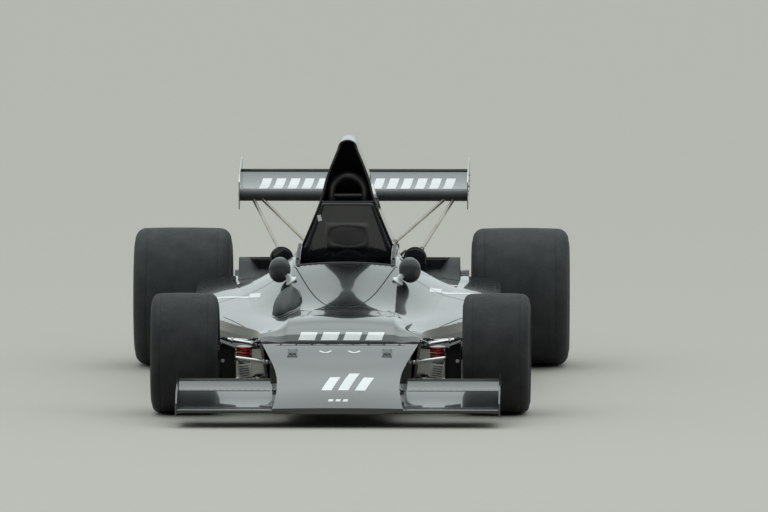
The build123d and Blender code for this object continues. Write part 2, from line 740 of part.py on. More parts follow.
ROD_BEND = RACK_HALF + 40
with BuildPart() as track_rods:
    rod((-ROD_BEND, RACK_STATION, RACK_Z), (ROD_BEND, RACK_STATION, RACK_Z), RACK_R)
    for side in (1, -1):
        with Locations((side * ROD_BEND, at(RACK_STATION), RACK_Z)):
            Sphere(RACK_R + 3)
        rod((side * ROD_BEND, RACK_STATION, RACK_Z), (side * KINGPIN_X, RACK_STATION, TRACK_END_Z), RACK_R)
        upright_pin(side * KINGPIN_X, RACK_STATION, TRACK_END_Z - 13, TRACK_END_Z + 12, 13)


def knuckle(side):
    """Front upright with kingpins, spindle, steering arm and brake caliper."""
    x = side * KINGPIN_X
    pad_in = FRONT_DISC_X - PAD_GAP
    pad_out = FRONT_DISC_X + DISC_THICK + PAD_GAP - 1
    arm_top = TRACK_END_Z - 14
    with BuildPart() as made:
        block(side * (KINGPIN_X - 40), side * (KINGPIN_X + 17), -34, 34, KNUCKLE_LOW, KNUCKLE_TOP)
        upright_pin(x, 0, KNUCKLE_TOP, UPPER_OUT_Z + 11, PIN_R)
        upright_pin(x, 0, LOWER_OUT_Z - 11, KNUCKLE_LOW, PIN_R)
        disc_x(side * (KINGPIN_X + 15), side * (FRONT_CENTRE + 60), 0, FRONT_AXLE_Z, SPINDLE_R)
        disc_x(side * (FRONT_CENTRE + 45), side * (FRONT_CENTRE + 60), 0, FRONT_AXLE_Z, SPINDLE_R + 14)
        block(side * (KINGPIN_X - 10), side * (KINGPIN_X + 10), RACK_STATION, -34, arm_top - 15, arm_top)
        upright_pin(x, RACK_STATION, arm_top - 15, arm_top, 13)
        block(side * (KINGPIN_X - 5), side * (pad_in - 8), 34, 60, 250, 310)
        block(side * (KINGPIN_X - 5), side * pad_in, 50, 80, 250, 310)
        block(side * (pad_in - 13), side * pad_in, 60, 140, 242, 318)
        block(side * (pad_in - 13), side * (pad_out + 15), 134, 144, 256, 304)
        block(side * pad_out, side * (pad_out + 15), 70, 144, 250, 310)
    return made.part


knuckle_left = knuckle(1)
knuckle_right = knuckle(-1)


def rim(side, station, axle_z, centre, width, bore, disc_in, hub_out):
    """Rim turned about its axle: barrel, flanges, spoked web and hub, with the brake disc inside it."""
    half = width / 2
    seat_r = RIM_DIA / 2
    web = centre + 12
    with BuildPart() as made:
        disc_x(side * (centre - half - 7), side * (centre + half + 7), station, axle_z, seat_r)
        for edge in (-1, 1):
            inner = centre + edge * half
            disc_x(side * inner, side * (inner + edge * 7), station, axle_z, seat_r + RIM_FLANGE)
        disc_x(
            side * (centre - half - 8),
            side * (centre + half + 8),
            station,
            axle_z,
            seat_r - RIM_WALL,
            mode=Mode.SUBTRACT,
        )
        with BuildSketch(Plane.YZ.offset(side * web)):
            with Locations((at(station), axle_z)):
                Circle(seat_r - RIM_WALL + 1)
                with PolarLocations(104, SPOKES):
                    SlotOverall(76, 44, rotation=0, mode=Mode.SUBTRACT)
        extrude(amount=side * 16)
        disc_x(side * (disc_in + DISC_THICK), side * (hub_out), station, axle_z, 48)
        if bore == SPINDLE_R + RUN_GAP:
            disc_x(side * disc_in, side * (disc_in + DISC_THICK), station, axle_z, BRAKE_DISC_R)
        disc_x(side * (disc_in - 1), side * (hub_out + 1), station, axle_z, bore, mode=Mode.SUBTRACT)
    return made.part


FRONT_HUB_OUT = FRONT_CENTRE + 44.7
REAR_HUB_IN = REAR_CENTRE - 106
REAR_HUB_OUT = REAR_CENTRE + 40
rim_front_left = rim(
    1, 0, FRONT_AXLE_Z, FRONT_CENTRE, FRONT_RIM_WIDTH, SPINDLE_R + RUN_GAP, FRONT_DISC_X, FRONT_HUB_OUT
)
rim_front_right = rim(
    -1, 0, FRONT_AXLE_Z, FRONT_CENTRE, FRONT_RIM_WIDTH, SPINDLE_R + RUN_GAP, FRONT_DISC_X, FRONT_HUB_OUT
)
rim_rear_left = rim(
    1, WHEELBASE, REAR_AXLE_Z, REAR_CENTRE, REAR_RIM_WIDTH, STUB_R, REAR_HUB_IN, REAR_HUB_OUT
)
rim_rear_right = rim(
    -1, WHEELBASE, REAR_AXLE_Z, REAR_CENTRE, REAR_RIM_WIDTH, STUB_R, REAR_HUB_IN, REAR_HUB_OUT
)


def tyre(side, station, axle_z, centre, dia, width, rim_width, shoulder):
    """Slick tyre, one turned ring on its rim seat, with rounded shoulders."""
    r = dia / 2
    half = width / 2
    bead = rim_width / 2
    seat_r = RIM_DIA / 2
    turn = 0.7071 * shoulder
    shoulder_x = half - 5 - shoulder
    shoulder_r = r - 3 - shoulder
    with BuildPart() as made:
        with BuildSketch(Plane.XY):
            with BuildLine():
                Polyline((-bead, seat_r), (bead, seat_r), (bead, seat_r + RIM_FLANGE + 1), (half - 5, seat_r + 34))
                ThreePointArc(
                    (half - 5, seat_r + 34), (half, (seat_r + 34 + shoulder_r) / 2), (half - 5, shoulder_r)
                )
                ThreePointArc(
                    (half - 5, shoulder_r), (shoulder_x + turn, shoulder_r + turn), (shoulder_x, r - 3)
                )
                ThreePointArc((shoulder_x, r - 3), (0, r), (-shoulder_x, r - 3))
                ThreePointArc(
                    (-shoulder_x, r - 3), (-shoulder_x - turn, shoulder_r + turn), (-half + 5, shoulder_r)
                )
                ThreePointArc(
                    (-half + 5, shoulder_r), (-half, (seat_r + 34 + shoulder_r) / 2), (-half + 5, seat_r + 34)
                )
                Polyline((-half + 5, seat_r + 34), (-bead, seat_r + RIM_FLANGE + 1), (-bead, seat_r))
            make_face()
        revolve(axis=Axis.X)
    return Pos(side * centre, at(station), axle_z) * made.part


FRONT_TYRE = (0, FRONT_AXLE_Z, FRONT_CENTRE, FRONT_TYRE_DIA, FRONT_TYRE_WIDTH, FRONT_RIM_WIDTH, FRONT_SHOULDER)
REAR_TYRE = (WHEELBASE, REAR_AXLE_Z, REAR_CENTRE, REAR_TYRE_DIA, REAR_TYRE_WIDTH, REAR_RIM_WIDTH, REAR_SHOULDER)
tyre_front_left = tyre(1, *FRONT_TYRE)
tyre_front_right = tyre(-1, *FRONT_TYRE)
tyre_rear_left = tyre(1, *REAR_TYRE)
tyre_rear_right = tyre(-1, *REAR_TYRE)

UPRIGHT_IN = REAR_FACE - 47
UPRIGHT_OUT = REAR_FACE - 12


def half_shaft(side):
    """Rear stub axle, drive shaft and inboard brake disc."""
    with BuildPart() as made:
        disc_x(side * (UPRIGHT_IN - 20), side * (REAR_HUB_OUT - 1), WHEELBASE, REAR_AXLE_Z, STUB_R)
        disc_x(side * 100, side * (UPRIGHT_IN - 19), WHEELBASE, REAR_AXLE_Z, SHAFT_R)
        disc_x(side * (UPRIGHT_IN - 60), side * (UPRIGHT_IN - 20), WHEELBASE, REAR_AXLE_Z, SHAFT_R + 16)
        disc_x(side * 130, side * 150, WHEELBASE, REAR_AXLE_Z, BRAKE_DISC_R)
        disc_x(side * 150, side * 178, WHEELBASE, REAR_AXLE_Z, 50)
    return made.part


half_shaft_left = half_shaft(1)
half_shaft_right = half_shaft(-1)

# Rear uprights, links and springs
UPRIGHT_LOW = 190.0
UPRIGHT_TOP = 455.0
LOWER_LINK_Z = 208.0
UPPER_LINK_Z = 440.0
with BuildPart() as rear_uprights:
    for side in (1, -1):
        with BuildSketch(Plane.YZ.offset(side * UPRIGHT_IN)):
            with BuildLine():
                Polyline(
                    (at(WHEELBASE - 62), UPRIGHT_LOW),
                    (at(WHEELBASE + 62), UPRIGHT_LOW),
                    (at(WHEELBASE + 66), REAR_AXLE_Z + 20),
                    (at(WHEELBASE + 28), UPRIGHT_TOP),
                    (at(WHEELBASE - 28), UPRIGHT_TOP),
                    (at(WHEELBASE - 66), REAR_AXLE_Z + 20),
                    close=True,
                )
            make_face()
        extrude(amount=side * (UPRIGHT_OUT - UPRIGHT_IN))
        block(
            side * (UPRIGHT_IN - 5), side * (UPRIGHT_OUT - 4), WHEELBASE + 56, SPRING_STATION + 15, 205, 265
        )
        disc_x(
            side * (UPRIGHT_IN - 10),
            side * (UPRIGHT_OUT + 10),
            WHEELBASE,
            REAR_AXLE_Z,
            STUB_R + RUN_GAP,
            mode=Mode.SUBTRACT,
        )

with BuildPart() as rear_links:
    for side in (1, -1):
        out = side * (UPRIGHT_IN + 15)
        rod((out, WHEELBASE - 37, LOWER_LINK_Z), (side * 100, ENGINE_END + 40, LOWER_LINK_Z + 12), 10)
        rod((out, WHEELBASE + 37, LOWER_LINK_Z), (side * 100, GEARBOX_END - 40, LOWER_LINK_Z + 12), 10)
        rod((out, WHEELBASE - 7, UPPER_LINK_Z), (side * 92, ENGINE_END + 40, 500), 10)
        rod((out, WHEELBASE - 37, 240), (side * 130, ENGINE_END - 140, 200), 9)
    add(gearbox.part, mode=Mode.SUBTRACT)
    add(rear_uprights.part, mode=Mode.SUBTRACT)
    add(engine_block.part, mode=Mode.SUBTRACT)
    block(-84, 84, ENGINE_END, GEARBOX_END, 150, 540, mode=Mode.SUBTRACT)
    for side in (1, -1):
        block(
            side * UPRIGHT_IN, side * 600, WHEELBASE - 67, WHEELBASE + 58, 180, UPRIGHT_TOP, mode=Mode.SUBTRACT
        )

with BuildPart() as rear_springs:
    for side in (1, -1):
        rod((side * 190, SPRING_STATION, 560), (side * 530, SPRING_STATION, 235), 14)
        rod((side * 235, SPRING_STATION, 518), (side * 445, SPRING_STATION, 317), 36)
    add(gearbox.part, mode=Mode.SUBTRACT)
    add(rear_uprights.part, mode=Mode.SUBTRACT)
    for side in (1, -1):
        block(
            side * (UPRIGHT_IN - 5), side * 600, WHEELBASE + 33, SPRING_STATION + 50, 150, 300, mode=Mode.SUBTRACT
        )
    block(-225, 225, SPRING_STATION - 50, SPRING_STATION + 50, BEAM_Z, 620, mode=Mode.SUBTRACT)

# Steering wheel on its own axis
with BuildPart() as steering_wheel:
    rod(COLUMN_START, COLUMN_END, PIN_R)
    with Locations(Plane(origin=(0, at(COLUMN_END[1]), COLUMN_END[2]), z_dir=Vector(0, 200, 57))):
        Torus(WHEEL_R, 11)
        Cylinder(32, 10)
        Box(2 * WHEEL_R - 4, 22, 5)

pieces = {
    "tub": tub.part,
    "nose": nose.part,
    "front_wings": front_wings.part,
    "front_cowl": front_cowl.part,
    "cockpit_surround": cockpit_surround.part,
    "side_pods": side_pods.part,
    "radiators": radiators.part,
    "radiator_hoods": radiator_hoods.part,
    "shoulder_scoops": shoulder_scoops.part,
    "gear_blister": gear_blister.part,
    "seat": seat.part,
    "dash_panel": dash_panel.part,
    "roll_hoop": roll_hoop.part,
    "airbox": airbox.part,
    "mirrors": mirrors.part,
    "engine_block": engine_block.part,
    "cam_covers": cam_covers.part,
    "gearbox": gearbox.part,
    "exhausts": exhausts.part,
    "rear_wing": rear_wing.part,
    "wing_end_plates": wing_end_plates.part,
    "wing_post": wing_post.part,
    "wing_stays": wing_stays.part,
    "front_wishbones": front_wishbones.part,
    "front_springs": front_springs.part,
    "rack_housing": rack_housing.part,
    "track_rods": track_rods.part,
    "knuckle_left": knuckle_left,
    "knuckle_right": knuckle_right,
    "rim_front_left": rim_front_left,
    "rim_front_right": rim_front_right,
    "rim_rear_left": rim_rear_left,
    "rim_rear_right": rim_rear_right,
    "tyre_front_left": tyre_front_left,
    "tyre_front_right": tyre_front_right,
    "tyre_rear_left": tyre_rear_left,
    "tyre_rear_right": tyre_rear_right,
    "half_shaft_left": half_shaft_left,
    "half_shaft_right": half_shaft_right,
    "rear_uprights": rear_uprights.part,
    "rear_links": rear_links.part,
    "rear_springs": rear_springs.part,
    "steering_wheel": steering_wheel.part,
}

os.makedirs("parts", exist_ok=True)
for name, shape in pieces.items():
    shape.label = name
    export_step(shape, "parts/" + name + ".step")
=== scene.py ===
"""Looks of the open wheel racing car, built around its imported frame.

Forms are drawn in millimetres: x to the car's left, station behind the front axle, z above the ground.
"""

import json
import math

import bmesh
import bpy
from mathutils import Matrix, Vector
from mathutils.bvhtree import BVHTree


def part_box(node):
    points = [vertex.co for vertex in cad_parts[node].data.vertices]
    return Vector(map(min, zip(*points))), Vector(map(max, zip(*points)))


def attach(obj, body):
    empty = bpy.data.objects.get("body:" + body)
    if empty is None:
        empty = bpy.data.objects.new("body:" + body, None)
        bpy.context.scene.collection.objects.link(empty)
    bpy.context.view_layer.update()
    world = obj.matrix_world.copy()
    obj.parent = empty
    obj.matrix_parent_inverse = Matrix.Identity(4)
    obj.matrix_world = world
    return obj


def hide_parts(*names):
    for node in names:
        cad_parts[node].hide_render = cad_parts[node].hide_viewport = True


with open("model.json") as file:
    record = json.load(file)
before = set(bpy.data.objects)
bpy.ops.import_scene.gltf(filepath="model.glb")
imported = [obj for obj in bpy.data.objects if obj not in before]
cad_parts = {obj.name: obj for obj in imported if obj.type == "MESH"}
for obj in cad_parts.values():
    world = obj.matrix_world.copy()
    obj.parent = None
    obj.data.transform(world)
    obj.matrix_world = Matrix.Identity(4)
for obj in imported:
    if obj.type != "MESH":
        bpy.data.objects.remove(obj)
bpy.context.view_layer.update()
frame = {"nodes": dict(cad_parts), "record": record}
NODES = frame["nodes"]
scene = bpy.context.scene

LEFT = Vector((1, 0, 0))
BACK = Vector((0, 1, 0))
UP = Vector((0, 0, 1))
FORTH, DOWN = -BACK, -UP
SIDES = (1, -1)
SKY = 1100  # start height of rays that fall on the car
BESIDE = 900  # start distance of rays from beside the car

tyre_low, tyre_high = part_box("tyre_front_left")
FRONT_AXLE = Vector((0, (tyre_low.y + tyre_high.y) / 2, 0))


def P(x, station, z):
    """Point or offset in millimetres."""
    return Vector((x, station, z))


def to_car(place):
    """Millimetres in the car's stations from metres in the world."""
    return (place - FRONT_AXLE) * 1000


def to_world(point):
    """Metres in the world from millimetres in the car's stations."""
    return FRONT_AXLE + Vector(point) / 1000


def node_box(node):
    """Low and high corner of a CAD node in millimetres."""
    return [to_car(corner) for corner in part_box(node)]


def steps(first, last, count):
    """Evenly spaced numbers, count gaps apart."""
    return [first + (last - first) * k / count for k in range(count + 1)]


def turns(count, offset=0.0):
    """Angles spread evenly round a circle."""
    return [2 * math.pi * (k + offset) / count for k in range(count)]


def circle(centre, radius, count, plane=(BACK, UP), offset=0.0):
    """Points spread evenly round a circle in the plane of two directions."""
    u, v = plane
    return [centre + (u * math.cos(a) + v * math.sin(a)) * radius for a in turns(count, offset)]


def on_side(side, rows):
    """Points on one side of the car from (x, station, z) rows of its left side."""
    return [P(side * x, station, z) for x, station, z in rows]


def turned(axis, degrees):
    return Matrix.Rotation(math.radians(degrees), 3, axis)


# Materials, with the record's slot that each finish stands for
M, SLOTS = {}, {}
# Sockets of the colour mix: factor, two colours, result
MIX_FACTOR, MIX_A, MIX_B, MIX_RESULT = 0, 6, 7, 2


def rgb(color):
    """Colour with alpha from three numbers, or from one for a grey."""
    return (color, color, color, 1) if isinstance(color, float) else (*color, 1)


def plain_material(name, color, rough, metal=0.0, **sockets):
    mat = bpy.data.materials.new(name)
    mat.use_nodes = True
    inputs = mat.node_tree.nodes["Principled BSDF"].inputs
    inputs["Base Color"].default_value = mat.diffuse_color = rgb(color)
    inputs["Roughness"].default_value = rough
    inputs["Metallic"].default_value = metal
    for key, value in sockets.items():
        inputs[key.replace("_", " ")].default_value = value
    return mat


def material(
    name, color, rough, metal, scale, low, high, bump=0.0, tint=None, slot=None,
    detail=4.0, stretch=(1, 1, 1), height=0.002, **sockets,
):
    """Finish whose roughness, relief and colour towards tint follow noise in object space."""
    mat = plain_material(name, color, rough, metal, **sockets)
    M[name], SLOTS[name] = mat, slot or name
    nodes, links = mat.node_tree.nodes, mat.node_tree.links
    shader = nodes["Principled BSDF"]
    mapping = nodes.new("ShaderNodeMapping")
    mapping.inputs["Scale"].default_value = stretch
    links.new(nodes.new("ShaderNodeTexCoord").outputs["Object"], mapping.inputs["Vector"])

    def noise(size, detail, low_name, low, high_name, high):
        texture = nodes.new("ShaderNodeTexNoise")
        texture.inputs["Scale"].default_value = size
        texture.inputs["Detail"].default_value = detail
        spread = nodes.new("ShaderNodeMapRange")
        spread.inputs[low_name].default_value = low
        spread.inputs[high_name].default_value = high
        links.new(mapping.outputs["Vector"], texture.inputs["Vector"])
        links.new(texture.outputs["Fac"], spread.inputs["Value"])
        return texture.outputs["Fac"], spread.outputs["Result"]

    grain, roughness = noise(scale, detail, "To Min", low, "To Max", high)
    links.new(roughness, shader.inputs["Roughness"])
    if bump:
        relief = nodes.new("ShaderNodeBump")
        relief.inputs["Strength"].default_value = bump
        relief.inputs["Distance"].default_value = height
        links.new(grain, relief.inputs["Height"])
        links.new(relief.outputs["Normal"], shader.inputs["Normal"])
    if tint:
        mix = nodes.new("ShaderNodeMix")
        mix.data_type = "RGBA"
        mix.inputs[MIX_A].default_value = rgb(color)
        mix.inputs[MIX_B].default_value = rgb(tint)
        links.new(noise(scale / 5, 6, "From Min", 0.35, "From Max", 0.75)[1], mix.inputs[MIX_FACTOR])
        links.new(mix.outputs[MIX_RESULT], shader.inputs["Base Color"])


RUBBER = {"detail": 8, "height": 0.0012, "Specular_IOR_Level": 0.35}
SHEET = {"stretch": (1, 0.2, 1)}
material(
    "gloss_black", (0.006, 0.007, 0.008), 0.2, 0, 5, 0.16, 0.3, 0, (0.012, 0.013, 0.014),
    Coat_Weight=1.0, Coat_Roughness=0.04, Coat_IOR=1.65, Specular_IOR_Level=0.3,
)
material("bare_metal", (0.30, 0.295, 0.285), 0.4, 1, 14, 0.28, 0.5, 0.05, (0.22, 0.215, 0.205), **SHEET)
material("radiator_core", 0.05, 0.6, 0, 80, 0.5, 0.7, 0.3)
material(
    "seat_cover", (0.035, 0.034, 0.033), 0.7, 0, 140, 0.55, 0.8, 0.5, (0.05, 0.048, 0.046), Sheen_Weight=0.2
)
material("dash_black", 0.03, 0.55, 0, 120, 0.45, 0.65, 0.25)
material("steel_tube", 0.62, 0.25, 1, 30, 0.14, 0.32, 0, 0.5)
material("mirror_shell", (0.034, 0.038, 0.039), 0.38, 0, 20, 0.3, 0.45, Coat_Weight=0.5, Coat_Roughness=0.2)
material("cast_metal", 0.36, 0.5, 1, 70, 0.4, 0.65, 0.4, (0.26, 0.255, 0.25))
material("cover_black", (0.028, 0.028, 0.03), 0.4, 0, 90, 0.35, 0.55, 0.5, 0.045)
material("exhaust_steel", (0.34, 0.27, 0.21), 0.4, 1, 16, 0.25, 0.5, 0.1, (0.16, 0.15, 0.2))
material("spring_red", (0.48, 0.012, 0.012), 0.3, 0, 40, 0.25, 0.45, 0, (0.3, 0.01, 0.01), Coat_Weight=0.6)
material("cast_dark", (0.010, 0.010, 0.011), 0.5, 0, 60, 0.4, 0.6, 0.3, 0.022)
material("rim_metal", (0.46, 0.46, 0.47), 0.4, 1, 25, 0.28, 0.48, 0.1, 0.3)
material("slick_rubber", (0.014, 0.016, 0.016), 0.75, 0, 55, 0.6, 0.85, 0.35, (0.030, 0.031, 0.031), **RUBBER)
material(
    "rear_rubber", (0.020, 0.023, 0.023), 0.75, 0, 55, 0.6, 0.85, 0.35, (0.036, 0.039, 0.039),
    "slick_rubber", **RUBBER,
)
material(
    "white_paint", (0.72, 0.73, 0.73), 0.35, 0, 30, 0.28, 0.45, 0, (0.6, 0.61, 0.61),
    "gloss_black", Coat_Weight=0.5,
)
# Near-black for seams and gaps; on holes, slots and inside ducts it is painted shade
material("gap_black", 0.004, 0.8, 0, 40, 0.7, 0.9, slot="dash_black")
material("bolt_steel", 0.5, 0.35, 1, 120, 0.25, 0.45, 0, (0.35, 0.34, 0.33), "steel_tube")
material("hose_black", 0.02, 0.55, 0, 200, 0.45, 0.65, 0.3, slot="slick_rubber")
material("brass", (0.55, 0.38, 0.14), 0.35, 1, 60, 0.25, 0.45, slot="steel_tube")
material("glass_face", (0.62, 0.65, 0.67), 0.03, 1, 10, 0.01, 0.05, 0, (0.5, 0.53, 0.55), "steel_tube")
material("dial_white", (0.75, 0.75, 0.72), 0.5, 0, 90, 0.4, 0.6, slot="dash_black")
material(
    "belt_web", (0.05, 0.07, 0.16), 0.7, 0, 400, 0.6, 0.85, 0.6, (0.08, 0.1, 0.2),
    "seat_cover", stretch=(1, 0.3, 1),
)
material("lamp_red", (0.4, 0.01, 0.01), 0.2, 0, 120, 0.15, 0.3, 0.4, slot="spring_red", Coat_Weight=1.0)
material("brake_iron", (0.33, 0.32, 0.31), 0.35, 1, 180, 0.25, 0.45, 0.15, slot="rim_metal")
material("pale_metal", (0.62, 0.64, 0.62), 0.4, 0.6, 60, 0.3, 0.5, 0.1, (0.45, 0.47, 0.46), "bare_metal")
material("dark_steel", (0.06, 0.06, 0.062), 0.4, 0.8, 120, 0.3, 0.5, 0, 0.03, "steel_tube")
material(
    "wing_black", (0.010, 0.012, 0.013), 0.22, 0, 8, 0.18, 0.3, slot="gloss_black",
    Coat_Weight=0.7, Coat_Roughness=0.08, Coat_IOR=1.5,
)
# Darker copy of the bare metal for the tub: painted shade
material(
    "tub_metal", (0.23, 0.225, 0.215), 0.4, 1, 14, 0.28, 0.5, 0.05, (0.15, 0.145, 0.135),
    "bare_metal", **SHEET,
)
material(
    "bulge_black", (0.014, 0.017, 0.018), 0.5, 0, 30, 0.42, 0.56, slot="gloss_black", Specular_IOR_Level=0.32
)
material("damper_silver", (0.72, 0.72, 0.68), 0.45, 0, 60, 0.3, 0.5, 0.1, slot="bare_metal")
material("plate_grey", (0.10, 0.115, 0.115), 0.5, 0, 60, 0.4, 0.6, 0.1, slot="bare_metal")
material("hoop_paint", (0.10, 0.096, 0.088), 0.35, 0.4, 40, 0.3, 0.45, 0, 0.05, "steel_tube", Coat_Weight=0.5)
material("stay_tube", (0.42, 0.38, 0.31), 0.25, 1, 30, 0.16, 0.34, 0, (0.30, 0.27, 0.22), "steel_tube")
material("skid_wood", (0.12, 0.11, 0.10), 0.8, 0, 60, 0.7, 0.9, 0.3, slot="dash_black")

# Solids that show in another finish than their record's
VARIANTS = {"roll_hoop": "hoop_paint", "wing_stays": "stay_tube", "rear_wing": "wing_black"}
# The tub takes the darker copy of the bare metal: painted shade
VARIANTS["tub"] = "tub_metal"
for entry in frame["record"]["subparts"]:
    node = NODES.get(entry["node"])
    if node:
        node.data.materials.clear()
        node.data.materials.append(M[VARIANTS.get(entry["node"], entry["material_slot"])])


# Paths
def basis(direction):
    """Unit vector along a direction and two across it."""
    d = Vector(direction).normalized()
    u = d.cross(UP if abs(d.z) < 0.9 else BACK).normalized()
    return d, u, d.cross(u).normalized()


def curve(a, b, c, d, t):
    """Catmull-Rom value between b and c."""
    return 0.5 * (2 * b + (c - a) * t + (2 * a - 5 * b + 4 * c - d) * t * t + (3 * b - a - 3 * c + d) * t**3)


def smooth_path(points, count=6):
    """Curve through points, given as vectors or as triples in millimetres."""
    pts = [Vector(p) for p in points]
    pts = [pts[0] * 2 - pts[1]] + pts + [pts[-1] * 2 - pts[-2]]
    spans = zip(pts, pts[1:], pts[2:], pts[3:])
    return [curve(*span, k / count) for span in spans for k in range(count)] + [pts[-2]]


def tangents(pts):
    """Unit direction of a path at each of its points."""
    last = len(pts) - 1
    return [(pts[min(i + 1, last)] - pts[max(i - 1, 0)]).normalized() for i in range(last + 1)]


def above(*pairs):
    """Points over the car from (x, station) pairs."""
    return [P(x, station, SKY) for x, station in pairs]


def overhead(a, b, count):
    """Straight row of points over the car between two (x, station) pairs."""
    start, end = above(a, b)
    return [start.lerp(end, t) for t in steps(0, 1, count)]


def helix(start, end, radius, coils, count=18):
    """Points of a coil between two ends, its end turns closed up."""
    _, u, v = basis(end - start)
    points = []
    for t in steps(0, 1, int(coils * count)):
        along = t - math.sin(2 * math.pi * t) * 0.06
        a = 2 * math.pi * coils * t
        points.append(start.lerp(end, along) + (u * math.cos(a) + v * math.sin(a)) * radius)
    return points


# Rays on the CAD nodes
TREES = {}


def hit(nodes, origin, direction):
    """First (point, outward normal) on one or more CAD nodes along a ray, or None."""
    found = []
    for node in [nodes] if isinstance(nodes, str) else nodes:
        if node not in TREES:
            mesh = NODES[node].data
            polygons = [polygon.vertices for polygon in mesh.polygons]
            TREES[node] = BVHTree.FromPolygons([vert.co for vert in mesh.vertices], polygons)
        place, normal, _, distance = TREES[node].ray_cast(to_world(origin), direction)
        if place is not None:
            found.append((distance, to_car(place), -normal if normal.dot(direction) > 0 else normal))
    return min(found, key=lambda spot: spot[0])[1:] if found else None


def under(nodes, x, station):
    """First (point, outward normal) on CAD nodes straight below the sky."""
    return hit(nodes, P(x, station, SKY), DOWN)


def inwards(nodes, side, station, z):
    """First (point, outward normal) on CAD nodes seen from beside the car."""
    return hit(nodes, P(side * BESIDE, station, z), LEFT * -side)


class Shape:
    """Vertices in millimetres and faces of one or more forms."""

    def __init__(self):
        self.verts, self.faces = [], []

    def add(self, verts, faces):
        """Adds a form and returns the number of its first vertex."""
        base = len(self.verts)
        self.verts += [Vector(v) for v in verts]
        self.faces += [tuple(i + base for i in face) for face in faces]
        return base

    def sheet(self, rows, wrap=False, caps=False, ring=False):
        """Surface through rows of points; wrap closes each row, ring joins the last to the first."""
        wide, count = len(rows[0]), len(rows)
        faces = []
        for i in range(count if ring else count - 1):
            a, b = i * wide, (i + 1) % count * wide
            for k in range(wide if wrap else wide - 1):
                n = (k + 1) % wide
                faces.append((a + k, a + n, b + n, b + k))
        if caps:
            faces += [tuple(reversed(range(wide))), tuple(range((count - 1) * wide, count * wide))]
        return self.add([point for row in rows for point in row], faces)

    def lathe(self, origin, direction, profile, segments=32, closed=False):
        """Revolves (radius, along) pairs about a line; radius 0 makes a pole, closed joins last to first."""
        d, u, v = basis(direction)
        verts, rings, faces = [], [], []
        for radius, along in profile:
            points = circle(origin + d * along, radius, segments if radius else 1, (u, v))
            rings.append(range(len(verts), len(verts) + len(points)))
            verts += points
        for low, high in zip(rings, rings[1:] + rings[:closed]):
            for k in range(segments):
                n = (k + 1) % segments
                corners = (low[k % len(low)], low[n % len(low)], high[n % len(high)], high[k % len(high)])
                face = tuple(dict.fromkeys(corners))
                if len(face) > 2:
                    faces.append(face)
        self.add(verts, faces)

    def collar(self, place, direction, bore, radius, low, high, segments=6):
        """Ring with its outer edges broken by a millimetre; with six segments it is a nut."""
        profile = [(bore, low), (radius, low + 1), (radius, high - 1), (bore, high)]
        self.lathe(place, direction, profile, segments)

    def tube(self, points, radius, sides=10, caps=True):
        """Round tube along points."""
        pts = [Vector(p) for p in points]
        u = basis(pts[1] - pts[0])[1]
        rows = []
        for point, t in zip(pts, tangents(pts)):
            u = (u - t * u.dot(t)).normalized()
            rows.append(circle(point, radius, sides, (u, t.cross(u))))
        self.sheet(rows, wrap=True, caps=caps)

    def box(self, centre, size, bevel=0.0, turn=None):
        """Box with rounded edges, turned by a rotation matrix."""
        bm = bmesh.new()
        bmesh.ops.create_cube(bm, size=1.0)
        for vert in bm.verts:
            vert.co *= Vector(size)
        if bevel:
            bmesh.ops.bevel(bm, geom=bm.edges[:], offset=bevel, segments=2, affect="EDGES", profile=0.6)
        bm.verts.index_update()
        turn = turn or Matrix.Identity(3)
        verts = [Vector(centre) + turn @ vert.co for vert in bm.verts]
        self.add(verts, [[vert.index for vert in face.verts] for face in bm.faces])
        bm.free()

    def bolt(self, spot, radius=4, height=3):
        """Hexagon head on a washer at a (point, direction) pair; nothing where a ray found none."""
        if spot:
            washer, h = radius * 1.25, height
            self.lathe(*spot, [(washer, -0.4), (washer, h * 0.25), (0, h * 0.25)], 12)
            self.lathe(*spot, [(radius, h * 0.2), (radius, h * 0.9), (radius * 0.85, h), (0, h)], 6)

    def rivet(self, spot, r=2.8):
        """Round head at a (point, direction) pair; nothing where a ray found none."""
        if spot:
            self.lathe(*spot, [(r, -0.4), (r * 0.85, r * 0.3), (r * 0.5, r * 0.5), (0, r * 0.55)], 8)

    def decal(self, nodes, corners, direction, nx, ny, lift=0.6):
        """Thin patch on CAD nodes: a grid between four corners, thrown along direction."""
        a, b, c, d = corners
        grid, verts = {}, []
        cells = [(i, j) for i in range(nx + 1) for j in range(ny + 1)]
        for i, j in cells:
            spot = hit(nodes, a.lerp(b, i / nx).lerp(d.lerp(c, i / nx), j / ny), direction)
            if spot:
                grid[i, j] = len(verts)
                verts.append(spot[0] + spot[1] * lift)
        quads = [[(i, j), (i + 1, j), (i + 1, j + 1), (i, j + 1)] for i, j in cells]
        self.add(verts, [[grid[key] for key in quad] for quad in quads if all(key in grid for key in quad)])

    def strip(self, spots, width, lift):
        """Narrow band along (point, normal) pairs."""
        rows = []
        for (point, normal), t in zip(spots, tangents([point for point, _ in spots])):
            half = normal.cross(t).normalized() * (width / 2)
            rows.append((point + normal * lift - half, point + normal * lift + half))
        self.sheet(rows)

    def seam(self, nodes, path, width=3, direction=DOWN):
        """Narrow band where a path of points falls on CAD nodes."""
        spots = [hit(nodes, point, direction) for point in path]
        self.strip([spot for spot in spots if spot], width, 0.7)


